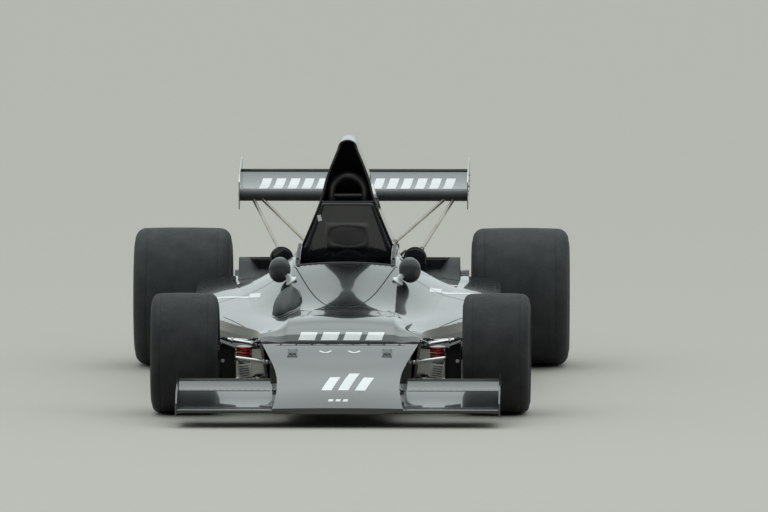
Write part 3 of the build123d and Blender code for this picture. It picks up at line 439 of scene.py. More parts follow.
class Piece(Shape):
    """Shape with what its visible piece needs; every piece is made once all of them are drawn."""

    every = []

    def __init__(self, name, mat, body="chassis", smooth=35, replaces=None, wall=0, fill=0, pins=None):
        super().__init__()
        self.name, self.mat, self.body, self.smooth = name, mat, body, smooth
        self.replaces, self.wall, self.fill, self.pins = replaces, wall, fill, pins
        Piece.every.append(self)

    def make(self):
        """Mesh object; edges sharper than smooth degrees stay sharp."""
        mesh = bpy.data.meshes.new(self.name)
        mesh.from_pydata([to_world(v) for v in self.verts], [], self.faces)
        bm = bmesh.new()
        bm.from_mesh(mesh)
        bmesh.ops.recalc_face_normals(bm, faces=bm.faces)
        bm.to_mesh(mesh)
        bm.free()
        mesh.shade_smooth()
        mesh.set_sharp_from_angle(angle=math.radians(self.smooth))
        mesh.materials.append(M[self.mat])
        obj = bpy.data.objects.new(self.name, mesh)
        scene.collection.objects.link(obj)
        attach(obj, self.body)
        if self.replaces:
            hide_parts(self.replaces)
        if self.wall:
            obj.modifiers.new("thickness", "SOLIDIFY").thickness = self.wall / 1000
        if self.pins:
            puff(obj, self.pins)
            rounding = obj.modifiers.new("rounding", "SUBSURF")
            rounding.levels = rounding.render_levels = 1


def pieces(*rows, **shared):
    """New pieces from rows of a name and a material, parted by a space."""
    return [Piece(*row.split(), **shared) for row in rows]


PUFF_LIMIT = 0.010  # furthest that a pad may swell, in metres
PUFF_FRAMES = 20


def puff(obj, pins):
    """Blows a closed pad up a little with the cloth solver and keeps the result as its mesh."""
    obj.vertex_groups.new(name="sewn").add(pins, 1.0, "REPLACE")
    cloth = obj.modifiers.new("cloth", "CLOTH")
    cloth.settings.quality = 5
    cloth.settings.mass = 0.15
    cloth.settings.use_pressure = True
    cloth.settings.uniform_pressure_force = 4
    cloth.settings.vertex_group_mass = "sewn"
    cloth.settings.effector_weights.gravity = 0
    cloth.collision_settings.use_collision = False
    cloth.point_cache.frame_start, cloth.point_cache.frame_end = 1, PUFF_FRAMES
    for number in range(1, PUFF_FRAMES + 1):
        scene.frame_set(number)
    puffed = obj.evaluated_get(bpy.context.evaluated_depsgraph_get())
    targets = [v.co.copy() for v in puffed.data.vertices]
    obj.modifiers.remove(cloth)
    scene.frame_set(1)
    for vert, target in zip(obj.data.vertices, targets):
        move = target - vert.co
        vert.co += move.normalized() * min(move.length, PUFF_LIMIT)


# Nose, wings and cowl: seams, latches and plain white bars
SKINS = ("front_cowl", "cockpit_surround", "side_pods")
SCREEN_FOOT, RIM_STATION = 375, 1060
COWL_JOIN = node_box("front_cowl")[1].y


def nose_details():
    bars, small, marks = pieces(
        "nose_bars white_paint", "nose_small_bars white_paint", "nose_handles white_paint"
    )
    # Plain slanted bars where the photograph shows a mark
    for x0, x1, back, slant in ((-78, -30, -560, 40), (0, 48, -520, 50), (78, 126, -560, 40)):
        bars.decal("nose", above((x0, -676), (x1, -676), (x1 + slant, back), (x0 + slant, back)), DOWN, 6, 18)
    for x in (-34, 0, 34):
        small.decal("nose", above((x - 11, -752), (x + 11, -752), (x + 15, -738), (x - 7, -738)), DOWN, 4, 3)
    # Two white crescents on the nose top: painted highlights
    for side in SIDES:
        arc = [(side * (40 + 54 * t), -232 - 22 * math.sin(math.pi * t)) for t in steps(0, 1, 12)]
        marks.seam("nose", above(*arc), 13)
    plates, slots, levers = pieces(
        "nose_latch_plates plate_grey", "nose_latch_slots gap_black", "nose_latch_levers dark_steel"
    )
    seams, studs = pieces("nose_seams gap_black", "nose_fasteners dark_steel")
    for side in SIDES:
        point, normal = under("nose", side * 220, -262)
        turn = Matrix((LEFT, normal.cross(LEFT).normalized(), normal)).transposed()
        slot = point - turn @ P(0, 18, 0)
        plates.box(point + normal, (47, 92, 4), 1.5, turn)
        # Near-black slot patch on the latch plate: painted shade of the recess
        slots.box(slot + normal * 2.6, (34, 30, 2), 0.8, turn)
        levers.box(slot + normal * 4, (7, 40, 4), 1.2, turn)
        for x, y in ((-18, -39), (-18, 39), (18, -39), (18, 39)):
            levers.bolt((point + normal * 3 + turn @ P(x, y, 0), normal), 3, 2)
        for x in (60, 132, 204, 276):
            studs.bolt(under("nose", side * x, -159), 4.5, 2)
    seams.seam("nose", overhead((-300, -168), (300, -168), 30), 2.2)


def front_wing_details():
    flaps, lips, studs, ends = pieces(
        "front_wing_flaps gloss_black", "front_wing_lips bare_metal", "front_wing_fasteners dark_steel",
        "front_end_plate_edges gloss_black",
    )
    tip = node_box("front_wings")[1].x
    for side in SIDES:
        inner, outer = side * 318, side * (tip - 8)
        # Raised trailing flap that shows dark in the photograph
        top = []
        for t in steps(0, 1, 8):
            point, _ = under("front_wings", side * 600, -498 + 67 * t)
            top.append(P(0, point.y, point.z + 2 + 12 * t * t))
        section = top + [point + DOWN * 3 for point in reversed(top)]
        flaps.sheet([[point + LEFT * x for point in section] for x in (inner, outer)], wrap=True, caps=True)
        lips.box(top[-1] + P((inner + outer) / 2, 1, 4), (abs(outer - inner), 3, 14), 0.8)
        for k in range(14):
            studs.rivet((under("front_wings", side * (345 + k * 29), -488)[0] + UP * 2.2, UP), 3)
        edge = ((-790, 54), (-790, 112), (-700, 160), (-440, 228), (-400, 228))
        ends.tube([P(side * (tip - 3), s, z) for s, z in edge], 4, 8)
        for s, z in ((-690, 150), (-600, 150), (-510, 190), (-450, 190)):
            studs.bolt(inwards("front_wings", side, s, z), 5)
        # Small forked bracket with a short adjusting rod where the wing meets the nose
        spot = P(side * 296, -604, 147)
        fork = spot + P(0, -20, 12)
        ends.box(spot, (20, 62, 10), 2)
        for k in SIDES:
            ends.box(fork + P(7 * k, 0, -2), (3, 18, 18), 1)
        ends.tube([fork, P(side * 268, -560, 176)], 4.5)
        studs.bolt((fork + LEFT * 9 * side, LEFT * side))
        studs.bolt((spot + P(0, 18, 5), UP), 4.5)


def cowl_details():
    band, seams, studs, squares_and_painted_streaks = pieces(
        "cowl_band_bars white_paint", "cowl_seams gap_black", "cowl_fasteners dark_steel",
        "pod_stripes white_paint",
    )
    for x in (-196, -92, 12, 116):
        corners = (P(x, -400, 354), P(x + 76, -400, 354), P(x + 90, -400, 388), P(x + 14, -400, 388))
        band.decal("front_cowl", corners, BACK, 10, 8)
    # Screen seam from each rim corner to a point on the centre line, join seams and cowl edges
    for side in SIDES:
        foot, rise = SCREEN_FOOT, RIM_STATION - SCREEN_FOOT
        screen = [(side * 236 * t, foot + rise * t**1.84) for t in steps(1, 0, 40)]
        seams.seam("front_cowl", above(*screen), 5)
        seams.seam(SKINS, overhead((side * 300, COWL_JOIN), (side * 600, COWL_JOIN), 20), 4)
        seams.seam("front_cowl", overhead((side * 392, 40), (side * 560, 640), 30))
        for k in range(10):
            studs.bolt(under("front_cowl", side * (400 + k * 20), 60 + k * 62), 3.5, 1.2)
            studs.bolt(under("front_cowl", side * (60 + k * 26), COWL_JOIN - 22), 3.5, 1.2)
    seams.seam(SKINS, overhead((-300, COWL_JOIN), (300, COWL_JOIN), 30), 4)
    # Slanting white streak with a blank square at its inner end, further back on the left, as in the
    # photograph: the streak is a painted reflection, the square a plain mark
    square = ((396, 892), (449, 985), (453, 1085), (397, 982))
    painted_streak = ((453, 984), (626, 1232), (626, 1276), (453, 1028))
    for side, back in ((-1, 0), (1, 115)):
        for shape in (square, painted_streak):
            squares_and_painted_streaks.decal(SKINS, above(*((side * x, s + back) for x, s in shape)), DOWN, 14, 3)


# Cockpit
def pointer(piece, centre, degrees, out, size):
    """Small bar on a dial, out from its centre and turned with its angle."""
    turn = turned("Y", degrees)
    piece.box(centre + turn @ UP * out, size, 0, turn)


def cockpit_details():
    [pads] = pieces("cockpit_rail_pads seat_cover", fill=0.9)
    rim, trims = pieces("cockpit_front_rim cover_black", "cockpit_rail_trims cover_black")
    front = [under(SKINS, x, COWL_JOIN - 4)[0] + P(0, 4, 1) for x in steps(-214, 214, 40)]
    rim.tube(front, 4.5)
    for side in SIDES:
        rail = ((225, 1124, 630), (225, 1200, 648), (225, 1268, 657), (225, 1400, 661), (225, 1560, 664))
        pads.tube(smooth_path(on_side(side, rail)), 8.5, 12)
        # Dull black trim over the outer face and front end of both rails
        patches = []
        for low, high in zip((604, 614, 624, 634, 644), (614, 624, 634, 644, 652)):
            for s in range(1104, 1584, 30):
                corners = ((s, low), (s + 30, low), (s + 30, high), (s, high))
                spots = [hit("cockpit_surround", P(side * 420, s, z), LEFT * -side) for s, z in corners]
                if all(h and abs(h[0].x) < 242 and h[1].x * side > 0.3 for h in spots):
                    patches.append(spots)
        for low, high in zip((600, 612, 624, 636, 648), (612, 624, 636, 648, 657)):
            for x in (216, 225):
                corners = ((x, low), (x + 9, low), (x + 9, high), (x, high))
                spots = [hit("cockpit_surround", P(side * x, 900, z), BACK) for x, z in corners]
                if all(h and h[0].y < 1140 for h in spots):
                    patches.append(spots)
        for spots in patches:
            trims.add([point + normal for point, normal in spots], [(0, 1, 2, 3)])
    # Dials on the dash, a rim for each, with plain tick marks
    rims, faces, ticks, hands, switches = pieces(
        "dial_rims bolt_steel", "dial_faces dash_black", "dial_ticks dial_white", "dial_hands spring_red",
        "dash_switches bolt_steel",
    )
    dash = 1052.5
    pairs = ((120, 556, 34), (180, 500, 24), (60, 500, 22))
    dials = [(0, 560, 46)] + [(side * x, z, r) for x, z, r in pairs for side in SIDES]
    for x, z, r in dials:
        centre, inner = P(x, dash, z), r * 0.86
        rims.lathe(centre, BACK, [(r, 0), (r, 10), (r * 0.92, 12), (inner, 8), (inner, 0)])
        faces.lathe(centre + BACK * 4, BACK, [(inner, 0), (0, 0.5)])
        for degrees in range(-130, 131, 26):
            pointer(ticks, centre + BACK * 5.2, degrees, r * 0.7, (1.6, 0.6, r * 0.16))
        pointer(hands, centre + BACK * 6, x * 0.4 - 60, r * 0.3, (2, 0.8, r * 0.62))
    for x in range(-75, 76, 30):
        switches.lathe(P(x, dash, 452), BACK, [(6, 0), (6, 4), (3.5, 5), (2.5, 16), (3.5, 20), (0, 22)], 12)


SEAT_LINE = (
    (1168, 133), (1196, 125), (1320, 125), (1430, 128), (1476, 138), (1512, 190), (1552, 270), (1602, 382),
    (1648, 492), (1664, 532),
)
SEAT_PATH = smooth_path([P(0, s, z) for s, z in SEAT_LINE], 12)


def seat_point(along, x):
    """Point and normal on the seat shell's middle; along runs 0 to 1 from the front edge to the top."""
    last = len(SEAT_PATH) - 1
    k = min(int(along * last), last - 1)
    spot = SEAT_PATH[k].lerp(SEAT_PATH[k + 1], along * last - k)
    run = (SEAT_PATH[min(k + 2, last)] - SEAT_PATH[max(k - 1, 0)]).normalized()
    return P(x, spot.y, spot.z), P(0, -run.z, run.y)


def cushion(name, spot, nx, ny, thick, columns, rows, fill):
    """Closed pad, sewn down along some grid columns and rows, that is puffed when it is made."""
    cells = [(i, j) for j in range(ny + 1) for i in range(nx + 1)]
    verts, pins, inner = [], [], {}
    for i, j in cells:
        u, v = 2 * i / nx - 1, 2 * j / ny - 1
        point, normal = spot(i / nx, j / ny)
        edge = ((1 - abs(u) ** 6) * (1 - abs(v) ** 6)) ** 0.5
        sewn = i in columns or j in rows
        near = {i - 1, i + 1} & {*columns} or {j - 1, j + 1} & {*rows}
        if sewn or edge == 0:
            pins.append(len(verts))
        verts.append(point + normal * (3 + thick * edge * (0.35 if sewn else 0.75 if near else 1)))
    for i, j in cells:
        if 0 < i < nx and 0 < j < ny:
            point, normal = spot(i / nx, j / ny)
            inner[i, j] = len(verts)
            verts.append(point + normal * 1.5)
    pins += inner.values()
    faces = []
    for i, j in cells:
        if i < nx and j < ny:
            corners = ((i, j), (i + 1, j), (i + 1, j + 1), (i, j + 1))
            faces.append([q * (nx + 1) + p for p, q in corners])
            faces.append([inner.get((p, q), q * (nx + 1) + p) for p, q in (corners[0], *corners[:0:-1])])
    Piece(name, "seat_cover", smooth=180, fill=fill, pins=pins).add(verts, faces)


def seat_and_belts():
    # Thin moulded shell with raised sides and a rolled edge
    shell = Piece("seat_shell", "cover_black", smooth=60, replaces="seat", wall=4)
    [edges] = pieces("seat_edge_roll seat_cover", smooth=60)
    rows = []
    for along in steps(0, 1, 48):
        lift = 84 - 46 * min(1, max(0, (along - 0.35) / 0.25))
        rows.append([])
        for f in steps(-1, 1, 30):
            flat = min(abs(f), 0.78) / 0.78
            bend = math.pi / 2 * max(0, (abs(f) - 0.78) / 0.22)
            point, normal = seat_point(along, math.copysign(flat * 182 + 20 * math.sin(bend), f))
            rows[-1].append(point + normal * lift * (1 - math.cos(bend)))
    shell.sheet(rows)
    for edge in ([row[-1] for row in rows], [row[0] for row in rows], rows[0], rows[-1]):
        edges.tube(edge, 4.5)

    def base_spot(u, v):
        return seat_point(0.03 + 0.30 * v, 168 * (2 * u - 1))

    def back_spot(u, v):
        return seat_point(0.47 + 0.50 * v, (170 - 12 * v) * (2 * u - 1))

    def head_spot(u, v):
        return P(212 * (u - 0.5), 1596 + 6 * (2 * u - 1) ** 2, 640 + 130 * v), FORTH

    cushion("seat_base_pad", base_spot, 40, 30, 20, (), (10, 20), 0.6)
    cushion("seat_back_pad", back_spot, 40, 50, 18, (12, 28), (10, 20, 30, 40), 0.6)
    cushion("head_pad", head_spot, 34, 22, 40, (), (), 0.8)
    straps, buckle = pieces("harness_straps belt_web", "harness_buckle bolt_steel")
    shoulder = ((70, 1674, 576), (74, 1624, 528), (70, 1544, 346), (52, 1484, 216), (22, 1434, 188))
    lap = ((186, 1484, 166), (130, 1464, 188), (70, 1434, 192), (24, 1420, 188))
    for side in SIDES:
        for route in (shoulder, lap):
            pts = smooth_path(on_side(side, route), 8)
            rows = []
            for point, t in zip(pts, tangents(pts)):
                across = t.cross(P(0, -0.75, 0.66)).normalized() * 24
                up = across.cross(t).normalized() * 1.2
                rows.append([point + across * x + up * z for x, z in ((-1, -1), (1, -1), (1, 1), (-1, 1))])
            straps.sheet(rows, wrap=True, caps=True)
        buckle.box(P(side * 72, 1570, 418), (56, 10, 30), 2, turned("X", 24))
    buckle.lathe(
        P(0, 1436, 186), P(0, -0.5, 0.86), [(34, -6), (36, 0), (34, 8), (20, 12), (18, 16), (0, 18)], 28
    )


def steering_wheel_details():
    """Padded rim, three drilled spokes, boss and quick-release collar."""
    centre = P(0, 1200, 477)
    axis = P(0, 200, 57).normalized()
    up = LEFT.cross(axis).normalized()
    [rim] = pieces("steering_rim_cover seat_cover", body="steering", smooth=60)
    [spokes] = pieces("steering_spokes bare_metal", body="steering")

    def radial(a):
        return LEFT * math.cos(a) + up * math.sin(a)

    rows = []
    for a in turns(64):
        rows.append(circle(centre + radial(a) * 120, 12.5 + 0.8 * math.cos(16 * a), 14, (radial(a), axis)))
    rim.sheet(rows, wrap=True, ring=True)
    for degrees in (0, 180, 270):
        out = radial(math.radians(degrees))
        across = axis.cross(out)
        turn = Matrix((out, across, axis)).transposed()
        for off in (-11, 11):
            spokes.box(centre + out * 72 + across * off + axis * 5, (88, 6, 4), 1, turn)
        spokes.box(centre + out * 45 + axis * 5, (30, 26, 4.5), 1, turn)
        spokes.box(centre + out * 104 + axis * 5, (16, 26, 4.5), 1, turn)
    spokes.lathe(centre, axis, [(34, 1), (36, 6), (34, 10), (22, 12), (20, 22), (12, 26), (0, 26)])
    for spot in circle(centre + axis * 10.5, 28, 6, (LEFT, up)):
        spokes.bolt((spot, axis), 3, 2.5)


def mirror_details():
    shells = Piece("mirror_shells", "mirror_shell", smooth=50, replaces="mirrors")
    glass, stalks = pieces("mirror_glasses glass_face", "mirror_stalks pale_metal")
    back = [(58.5 * math.sin(a), 34 * (1 - math.cos(a)) - 12) for a in steps(0, math.pi / 2, 12)]
    back += [(58.8, 30), (57.5, 34.5), (55.5, 34.5), (54.5, 30), (0, 30)]
    for side in SIDES:
        centre = P(side * 306, 893, 597)
        squash = turned("Y", -6 * side) @ Matrix.Diagonal((0.88, 1, 1.03))
        for piece, profile in ((shells, back), (glass, [(54.2, 31.2), (0, 31.8)])):
            egg = Shape()
            egg.lathe(centre, BACK, profile, 56)
            piece.add([centre + squash @ (v - centre) for v in egg.verts], egg.faces)
        # Pale cast bracket from the cowl up to the shell's inner side
        foot, normal = under("front_cowl", side * 251, 862)
        top = P(side * 278, 902, 575)
        across = (top - foot).cross(BACK).normalized()
        rows = []
        for t in steps(0, 1, 8):
            place = foot.lerp(top, t) + UP * 6 * math.sin(math.pi * t)
            rows.append(circle(place, 16.5 - 6 * t, 16, (across, BACK * 0.8)))
        stalks.sheet(rows, wrap=True)
        stalks.lathe(foot, normal, [(29, -4), (29, 2), (23, 6), (16.5, 14), (13.5, 22), (0, 24)], 28)
        for spot in circle(foot + UP * 4, 21, 3, (LEFT, BACK)):
            stalks.bolt((spot, normal), 2.8, 2)


def hand_bulge_details():
    """Long bulge over the hand on the cowl's right flank, over the place of its solid, with a flange."""
    dome = Piece("hand_bulge", "bulge_black", smooth=60, replaces="gear_blister")
    [flange] = pieces("hand_bulge_flange gloss_black")
    centre = P(-262, 536, 0)
    half_wide, half_long, rise = 61, 205, 60
    lean = turned("Z", -4)
    rings, around = 14, 48

    def spot(r, a):
        """Point and normal on the cowl at a share r of the outline's radius."""
        taper = 1 - 0.12 * r * math.sin(a)
        place = centre + lean @ P(half_wide * r * math.cos(a) * taper, half_long * r * math.sin(a), 0)
        return under("front_cowl", place.x, place.y)

    rows = []
    for i in range(1, rings + 1):
        r = math.sin(math.pi / 2 * i / rings)
        rows.append([])
        for a in turns(around):
            point, normal = spot(r, a)
            fall = rise * (1 - r * r) ** 0.5 * (1 - 0.10 * math.sin(a) * r) if i < rings else -3
            rows[-1].append(point + normal * fall)
    first = dome.sheet(rows, wrap=True)
    point, normal = spot(0, 0)
    top = dome.add([point + normal * rise], [])
    dome.faces += [(top, first + k, first + (k + 1) % around) for k in range(around)]
    edge = [spot(1.07, a) for a in steps(0, 2 * math.pi, 96)]
    flange.tube([point + normal * 1.5 for point, normal in edge], 4.2, 8, caps=False)


# Wheels
SEAT_R = 165  # bead seat of every rim
DISC_IN, DISC_THICK = 124, 20  # front disc: its inner face from the wheel's middle, and its width
DISC_R = 127.8


class Wheel:
    """Numbers of one wheel, all taken from its tyre in the frame."""

    def __init__(self, name):
        self.name = name
        self.front = name.startswith("front")
        self.tyre_node, self.rim_node, self.body = "tyre_" + name, "rim_" + name, "wheel_" + name
        low, high = node_box(self.tyre_node)
        self.side = 1 if low.x > 0 else -1
        self.centre = (low + high) / 2
        self.r = (high.z - low.z) / 2
        self.half = (high.x - low.x) / 2
        self.bead, self.shoulder = (127, 38) if self.front else (203, 54)
        self.axis = LEFT * self.side

    def radial(self, angle):
        return P(0, math.cos(angle), math.sin(angle))

    def place(self, along, radius, angle):
        """Point at a distance outwards from the wheel's middle, a radius and an angle."""
        return self.centre + self.axis * along + self.radial(angle) * radius

    def pieces(self, *rows):
        return pieces(*rows, body=self.body)


def tyre_section(wheel):
    """Half of the tyre's section from bead to crown as (along, radius), with its ribs and groove."""
    half, r, bead, shoulder = wheel.half, wheel.r, wheel.bead, wheel.shoulder
    low_r, shoulder_r, shoulder_x = SEAT_R + 34, r - 3 - shoulder, half - 5 - shoulder
    foot = ((bead, 0), (bead, 12), (bead + 4, 15.5), (bead + 7, 15), (half - 11, 26), (half - 5.5, 31))
    pts = [(x, SEAT_R + rise) for x, rise in foot]
    for t in steps(0, 1, 16):
        x, rad = half - 5 * (2 * t - 1) ** 2, low_r + (shoulder_r - low_r) * t
        if any(abs(t - rib) < 0.032 for rib in (0.12, 0.2, 0.78)):
            pts += [(x, rad - 1.6), (x - 1.1, rad - 0.8), (x - 1.1, rad + 0.8), (x, rad + 1.6)]
        else:
            pts.append((x, rad))
    for a in steps(0, math.pi / 2, 12)[1:-1]:
        pts.append((shoulder_x + shoulder * math.cos(a), shoulder_r + shoulder * math.sin(a)))
    groove = shoulder_x - 4
    pts += [(shoulder_x, r - 3), (groove + 1.8, r - 3), (groove, r - 4.4), (groove - 1.8, r - 2.9)]
    return pts + [(x, r - 3 * (x / shoulder_x) ** 2) for x in steps(groove, 0, 6)[1:]]


def tyre_details(wheel):
    half = tyre_section(wheel)
    profile = [(rad, x) for x, rad in half] + [(rad, -x) for x, rad in reversed(half[:-1])]
    rubber = "slick_rubber" if wheel.front else "rear_rubber"
    tyre = Piece(wheel.tyre_node + "_slick", rubber, wheel.body, 50, wheel.tyre_node)
    tyre.lathe(wheel.centre, wheel.axis, profile, 112, closed=True)
    # Wear holes across the tread, drawn as flat near-black discs: painted shade
    [holes] = wheel.pieces(wheel.tyre_node + "_wear_holes gap_black")
    for x in (-0.62, -0.3, 0.02, 0.34, 0.64):
        for a in turns(10, 0.5 * (x > 0)):
            place = wheel.place(x * (wheel.half - wheel.shoulder), wheel.r - 3 * x * x - 0.2, a)
            holes.lathe(place, wheel.radial(a), [(2.6, 0), (1.6, 0.3), (0, 0.3)], 10)


def brake_disc_faces(rings, holes, place, direction, inner, segments, drill_radii, count):
    """Friction ring and drill holes on one side of a disc; the holes are flat near-black discs, painted
    shade.
    """
    rings.lathe(place, direction, [(DISC_R, -0.2), (DISC_R, 0.6), (inner, 0.6), (inner, -0.2)], segments)
    for row, radius in enumerate(drill_radii):
        for spot in circle(place + direction * 0.6, radius, count, offset=row * 0.33):
            holes.lathe(spot, direction, [(3.6, 0), (3.4, 0.3), (0, 0.3)], 8)


def rim_details(wheel):
    node, axis, centre = wheel.rim_node, wheel.axis, wheel.centre
    edge, face = wheel.bead + 7, 28
    lips, rings = wheel.pieces(node + "_lips rim_metal", node + "_rings rim_metal")
    bolts, weights = wheel.pieces(node + "_bolts bolt_steel", node + "_weights bolt_steel")
    lip = (
        (157.5, -30), (162, -6), (170, -1), (176.5, 1.5), (178.5, -1), (178.8, -5), (177.5, -6.8),
        (167.2, -6.8), (158, -30),
    )
    for end in SIDES:
        lips.lathe(centre, axis * end, [(r, edge + along) for r, along in lip], 80, closed=True)
    for radius, count, size in ((147.5, 16, 5), (62, 8, 6)):
        for spot in circle(centre + axis * face, radius, count, offset=0.5):
            bolts.bolt((spot, axis), size, size - 1)
    # Air valve, balance weights
    valve = [(4, 0), (4, 12), (5, 13), (5, 26), (3.5, 28), (0, 28)]
    bolts.lathe(wheel.place(face - 4, 137, 0.35), axis + wheel.radial(0.35) * 0.5, valve, 10)
    for a in (0.9, 1.02, 3.7):
        turn = Matrix.Rotation(a - math.pi / 2, 3, "X")
        weights.box(wheel.place(edge - 16, 155.5, a), (22, 24, 5), 1, turn)
    # Ridge rings round the barrel's inner side and the web's rim
    for x in (-wheel.bead * 0.55, -wheel.bead * 0.2):
        rings.lathe(centre, axis, [(156.5, x - 3), (153.5, x - 1), (153.5, x + 1), (156.5, x + 3)], 72)
    outer = [(152.5, -0.5), (152.5, 2.2), (142.5, 2.2), (142.5, -0.5)]
    inner = [(78, -0.5), (75, 3), (54, 3), (48.5, 8)]
    for profile, segments in ((outer, 72), (inner, 56)):
        rings.lathe(centre + axis * face, axis, profile, segments)
    if wheel.front:
        disc, holes = wheel.pieces(
            "brake_ring_" + wheel.name + " brake_iron", "brake_holes_" + wheel.name + " gap_black"
        )
        for x, way in ((-DISC_IN, -1), (DISC_THICK - DISC_IN, 1)):
            brake_disc_faces(disc, holes, centre + axis * x, axis * way, 74, 72, (84, 98, 112), 20)
        # Near-black blocks in the gap between the disc's faces: painted shade
        for a in turns(24):
            turn = Matrix.Rotation(a - math.pi / 2, 3, "X")
            holes.box(wheel.place(DISC_THICK / 2 - DISC_IN, 127.5, a), (9, 20, 1.6), 0, turn)


def nut_details(wheel):
    """Large centre nut with its pin; at the front it sits on the fixed spindle end."""
    if wheel.front:
        body, start, r = "knuckle_" + wheel.name.split("_")[1], 60.2, 37
    else:
        body, start, r = wheel.body, 40, 45
    [nut] = pieces("centre_nut_" + wheel.name + " bolt_steel", body=body)
    place = wheel.centre + wheel.axis * start
    end = [(r * 0.5, 24), (r * 0.5, 38), (r * 0.42, 40), (r * 0.3, 40), (r * 0.3, 34), (0, 34)]
    nut.lathe(place, wheel.axis, [(r * 1.12, -1), (r * 1.12, 4), (r * 0.8, 4.5)], 36)
    nut.lathe(place, wheel.axis, [(r, 4), (r, 22), (r * 0.9, 26), (r * 0.5, 26)], 6)
    nut.lathe(place, wheel.axis, end, 28)
    pin = place + wheel.axis * 33
    nut.tube([pin + FORTH * r * 0.75, pin + BACK * r * 0.75], 2.2, 8)


# Front suspension and steering
KINGPIN = 545
RACK_STATION, RACK_Z = -110, 250


def front_suspension():
    coils = Piece("front_coils", "spring_red", replaces="front_springs")
    dampers, bands, arms, studs = pieces(
        "front_dampers damper_silver", "front_damper_bands cover_black", "front_spring_arms cast_dark",
        "front_spring_bolts bolt_steel",
    )
    damper = (
        (0, -1), (16, 0), (25, 3), (27, 6), (27, 30), (24.5, 32), (24.5, 36), (27, 38), (27, 52), (24.5, 54),
        (24.5, 58), (27, 60), (27, 68), (39, 70), (40, 73), (40, 76), (30, 78), (22, 80), (22, 86), (0, 86),
    )
    perch = [(7.5, 0), (7.5, 56), (26, 57), (38, 58), (39.5, 60), (38, 63), (16, 66), (0, 67)]
    for side in SIDES:
        x, s = side * 452, 20
        foot = P(x, s, 176)
        coils.tube(helix(P(x, s, 256), P(x, s, 306), 33.5, 4.5), 5.6)
        dampers.lathe(foot, UP, damper, 40)
        dampers.lathe(P(x, s, 250), UP, perch, 36)
        for z in (34, 56):
            bands.collar(foot + UP * z, UP, 24.6, 25.2, -2, 2, 40)
        # Finned oil reservoir strapped to the front of the damper
        tank, lean = P(side * 449, -14, 201), turned("Y", 8 * side)
        dampers.box(tank, (58, 12, 64), 3, lean)
        for z in steps(-22, 22, 4):
            bands.box(tank + lean @ P(0, -6.5, z), (44, 3, 2.8), 0.5, lean)
        dampers.box(P(side * 420, -6, 206), (6, 30, 72), 1.5)
        # Rocking arm from the tub to the spring's top, tapered, with a web
        top, root = P(x, s, 309), P(side * 352, s, 306)
        arms.tube([root, root.lerp(top, 0.5), top], 8.5)
        for t, wide in ((0.3, 52), (0.6, 36)):
            arms.box(root.lerp(top, t), (34, wide, 9), 2)
        arms.lathe(top, UP, [(18, -9), (20, -3), (18, 3), (0, 3)], 24)
        studs.bolt((top + UP * 3, UP), 6, 4)
        # Foot bracket across the two legs of the lower wishbone
        arms.tube([P(x, -18, 159), P(x, 58, 159)], 7)
        studs.tube([foot + P(-20, 0, -2), foot + P(20, 0, -2)], 5)
        for k in SIDES:
            arms.box(P(x + k * 14, s, 168), (4, 30, 26), 1)
            studs.bolt((foot + P(k * 17, 0, -2), LEFT * k), 6.5, 5)
    # Rod ends, lock nuts and tub brackets on every wishbone leg
    ends, brackets, rings = pieces(
        "wishbone_ends bolt_steel", "wishbone_brackets cast_dark", "wishbone_ball_rings cast_dark"
    )
    ball = [(19.2, -7.5), (20.5, -5), (20.5, 5), (18.5, 7.8), (9.8, 7.8)]
    for side in SIDES:
        x = side * KINGPIN
        for root_x, root_z, z, k in ((360, 322, 347, 1), (330, 160, 157, -1)):
            out = P(x, 0, z)
            rings.lathe(out, UP * k, ball, 28)
            for leg in (-40, 130):
                root = P(side * root_x, leg, root_z)
                d = (out - root).normalized()
                start = hit("tub", out, -d)[0]
                ends.collar(start + d * 30, d, 9.5, 13.5, 0, 11)
                ends.lathe(start + d * 4, d, [(8, 0), (15.5, 4), (16.5, 12), (14.5, 20), (9.8, 26)], 20)
                ends.collar(out - d * 46, d, 9.8, 13.5, 0, 11)
                for k2 in SIDES:
                    brackets.box(start + d * 8 + UP * 13 * k2, (34, 44, 5), 1.5)
                    ends.bolt((start + d * 10 + UP * 15.5 * k2, UP * k2), 5.5, 4)


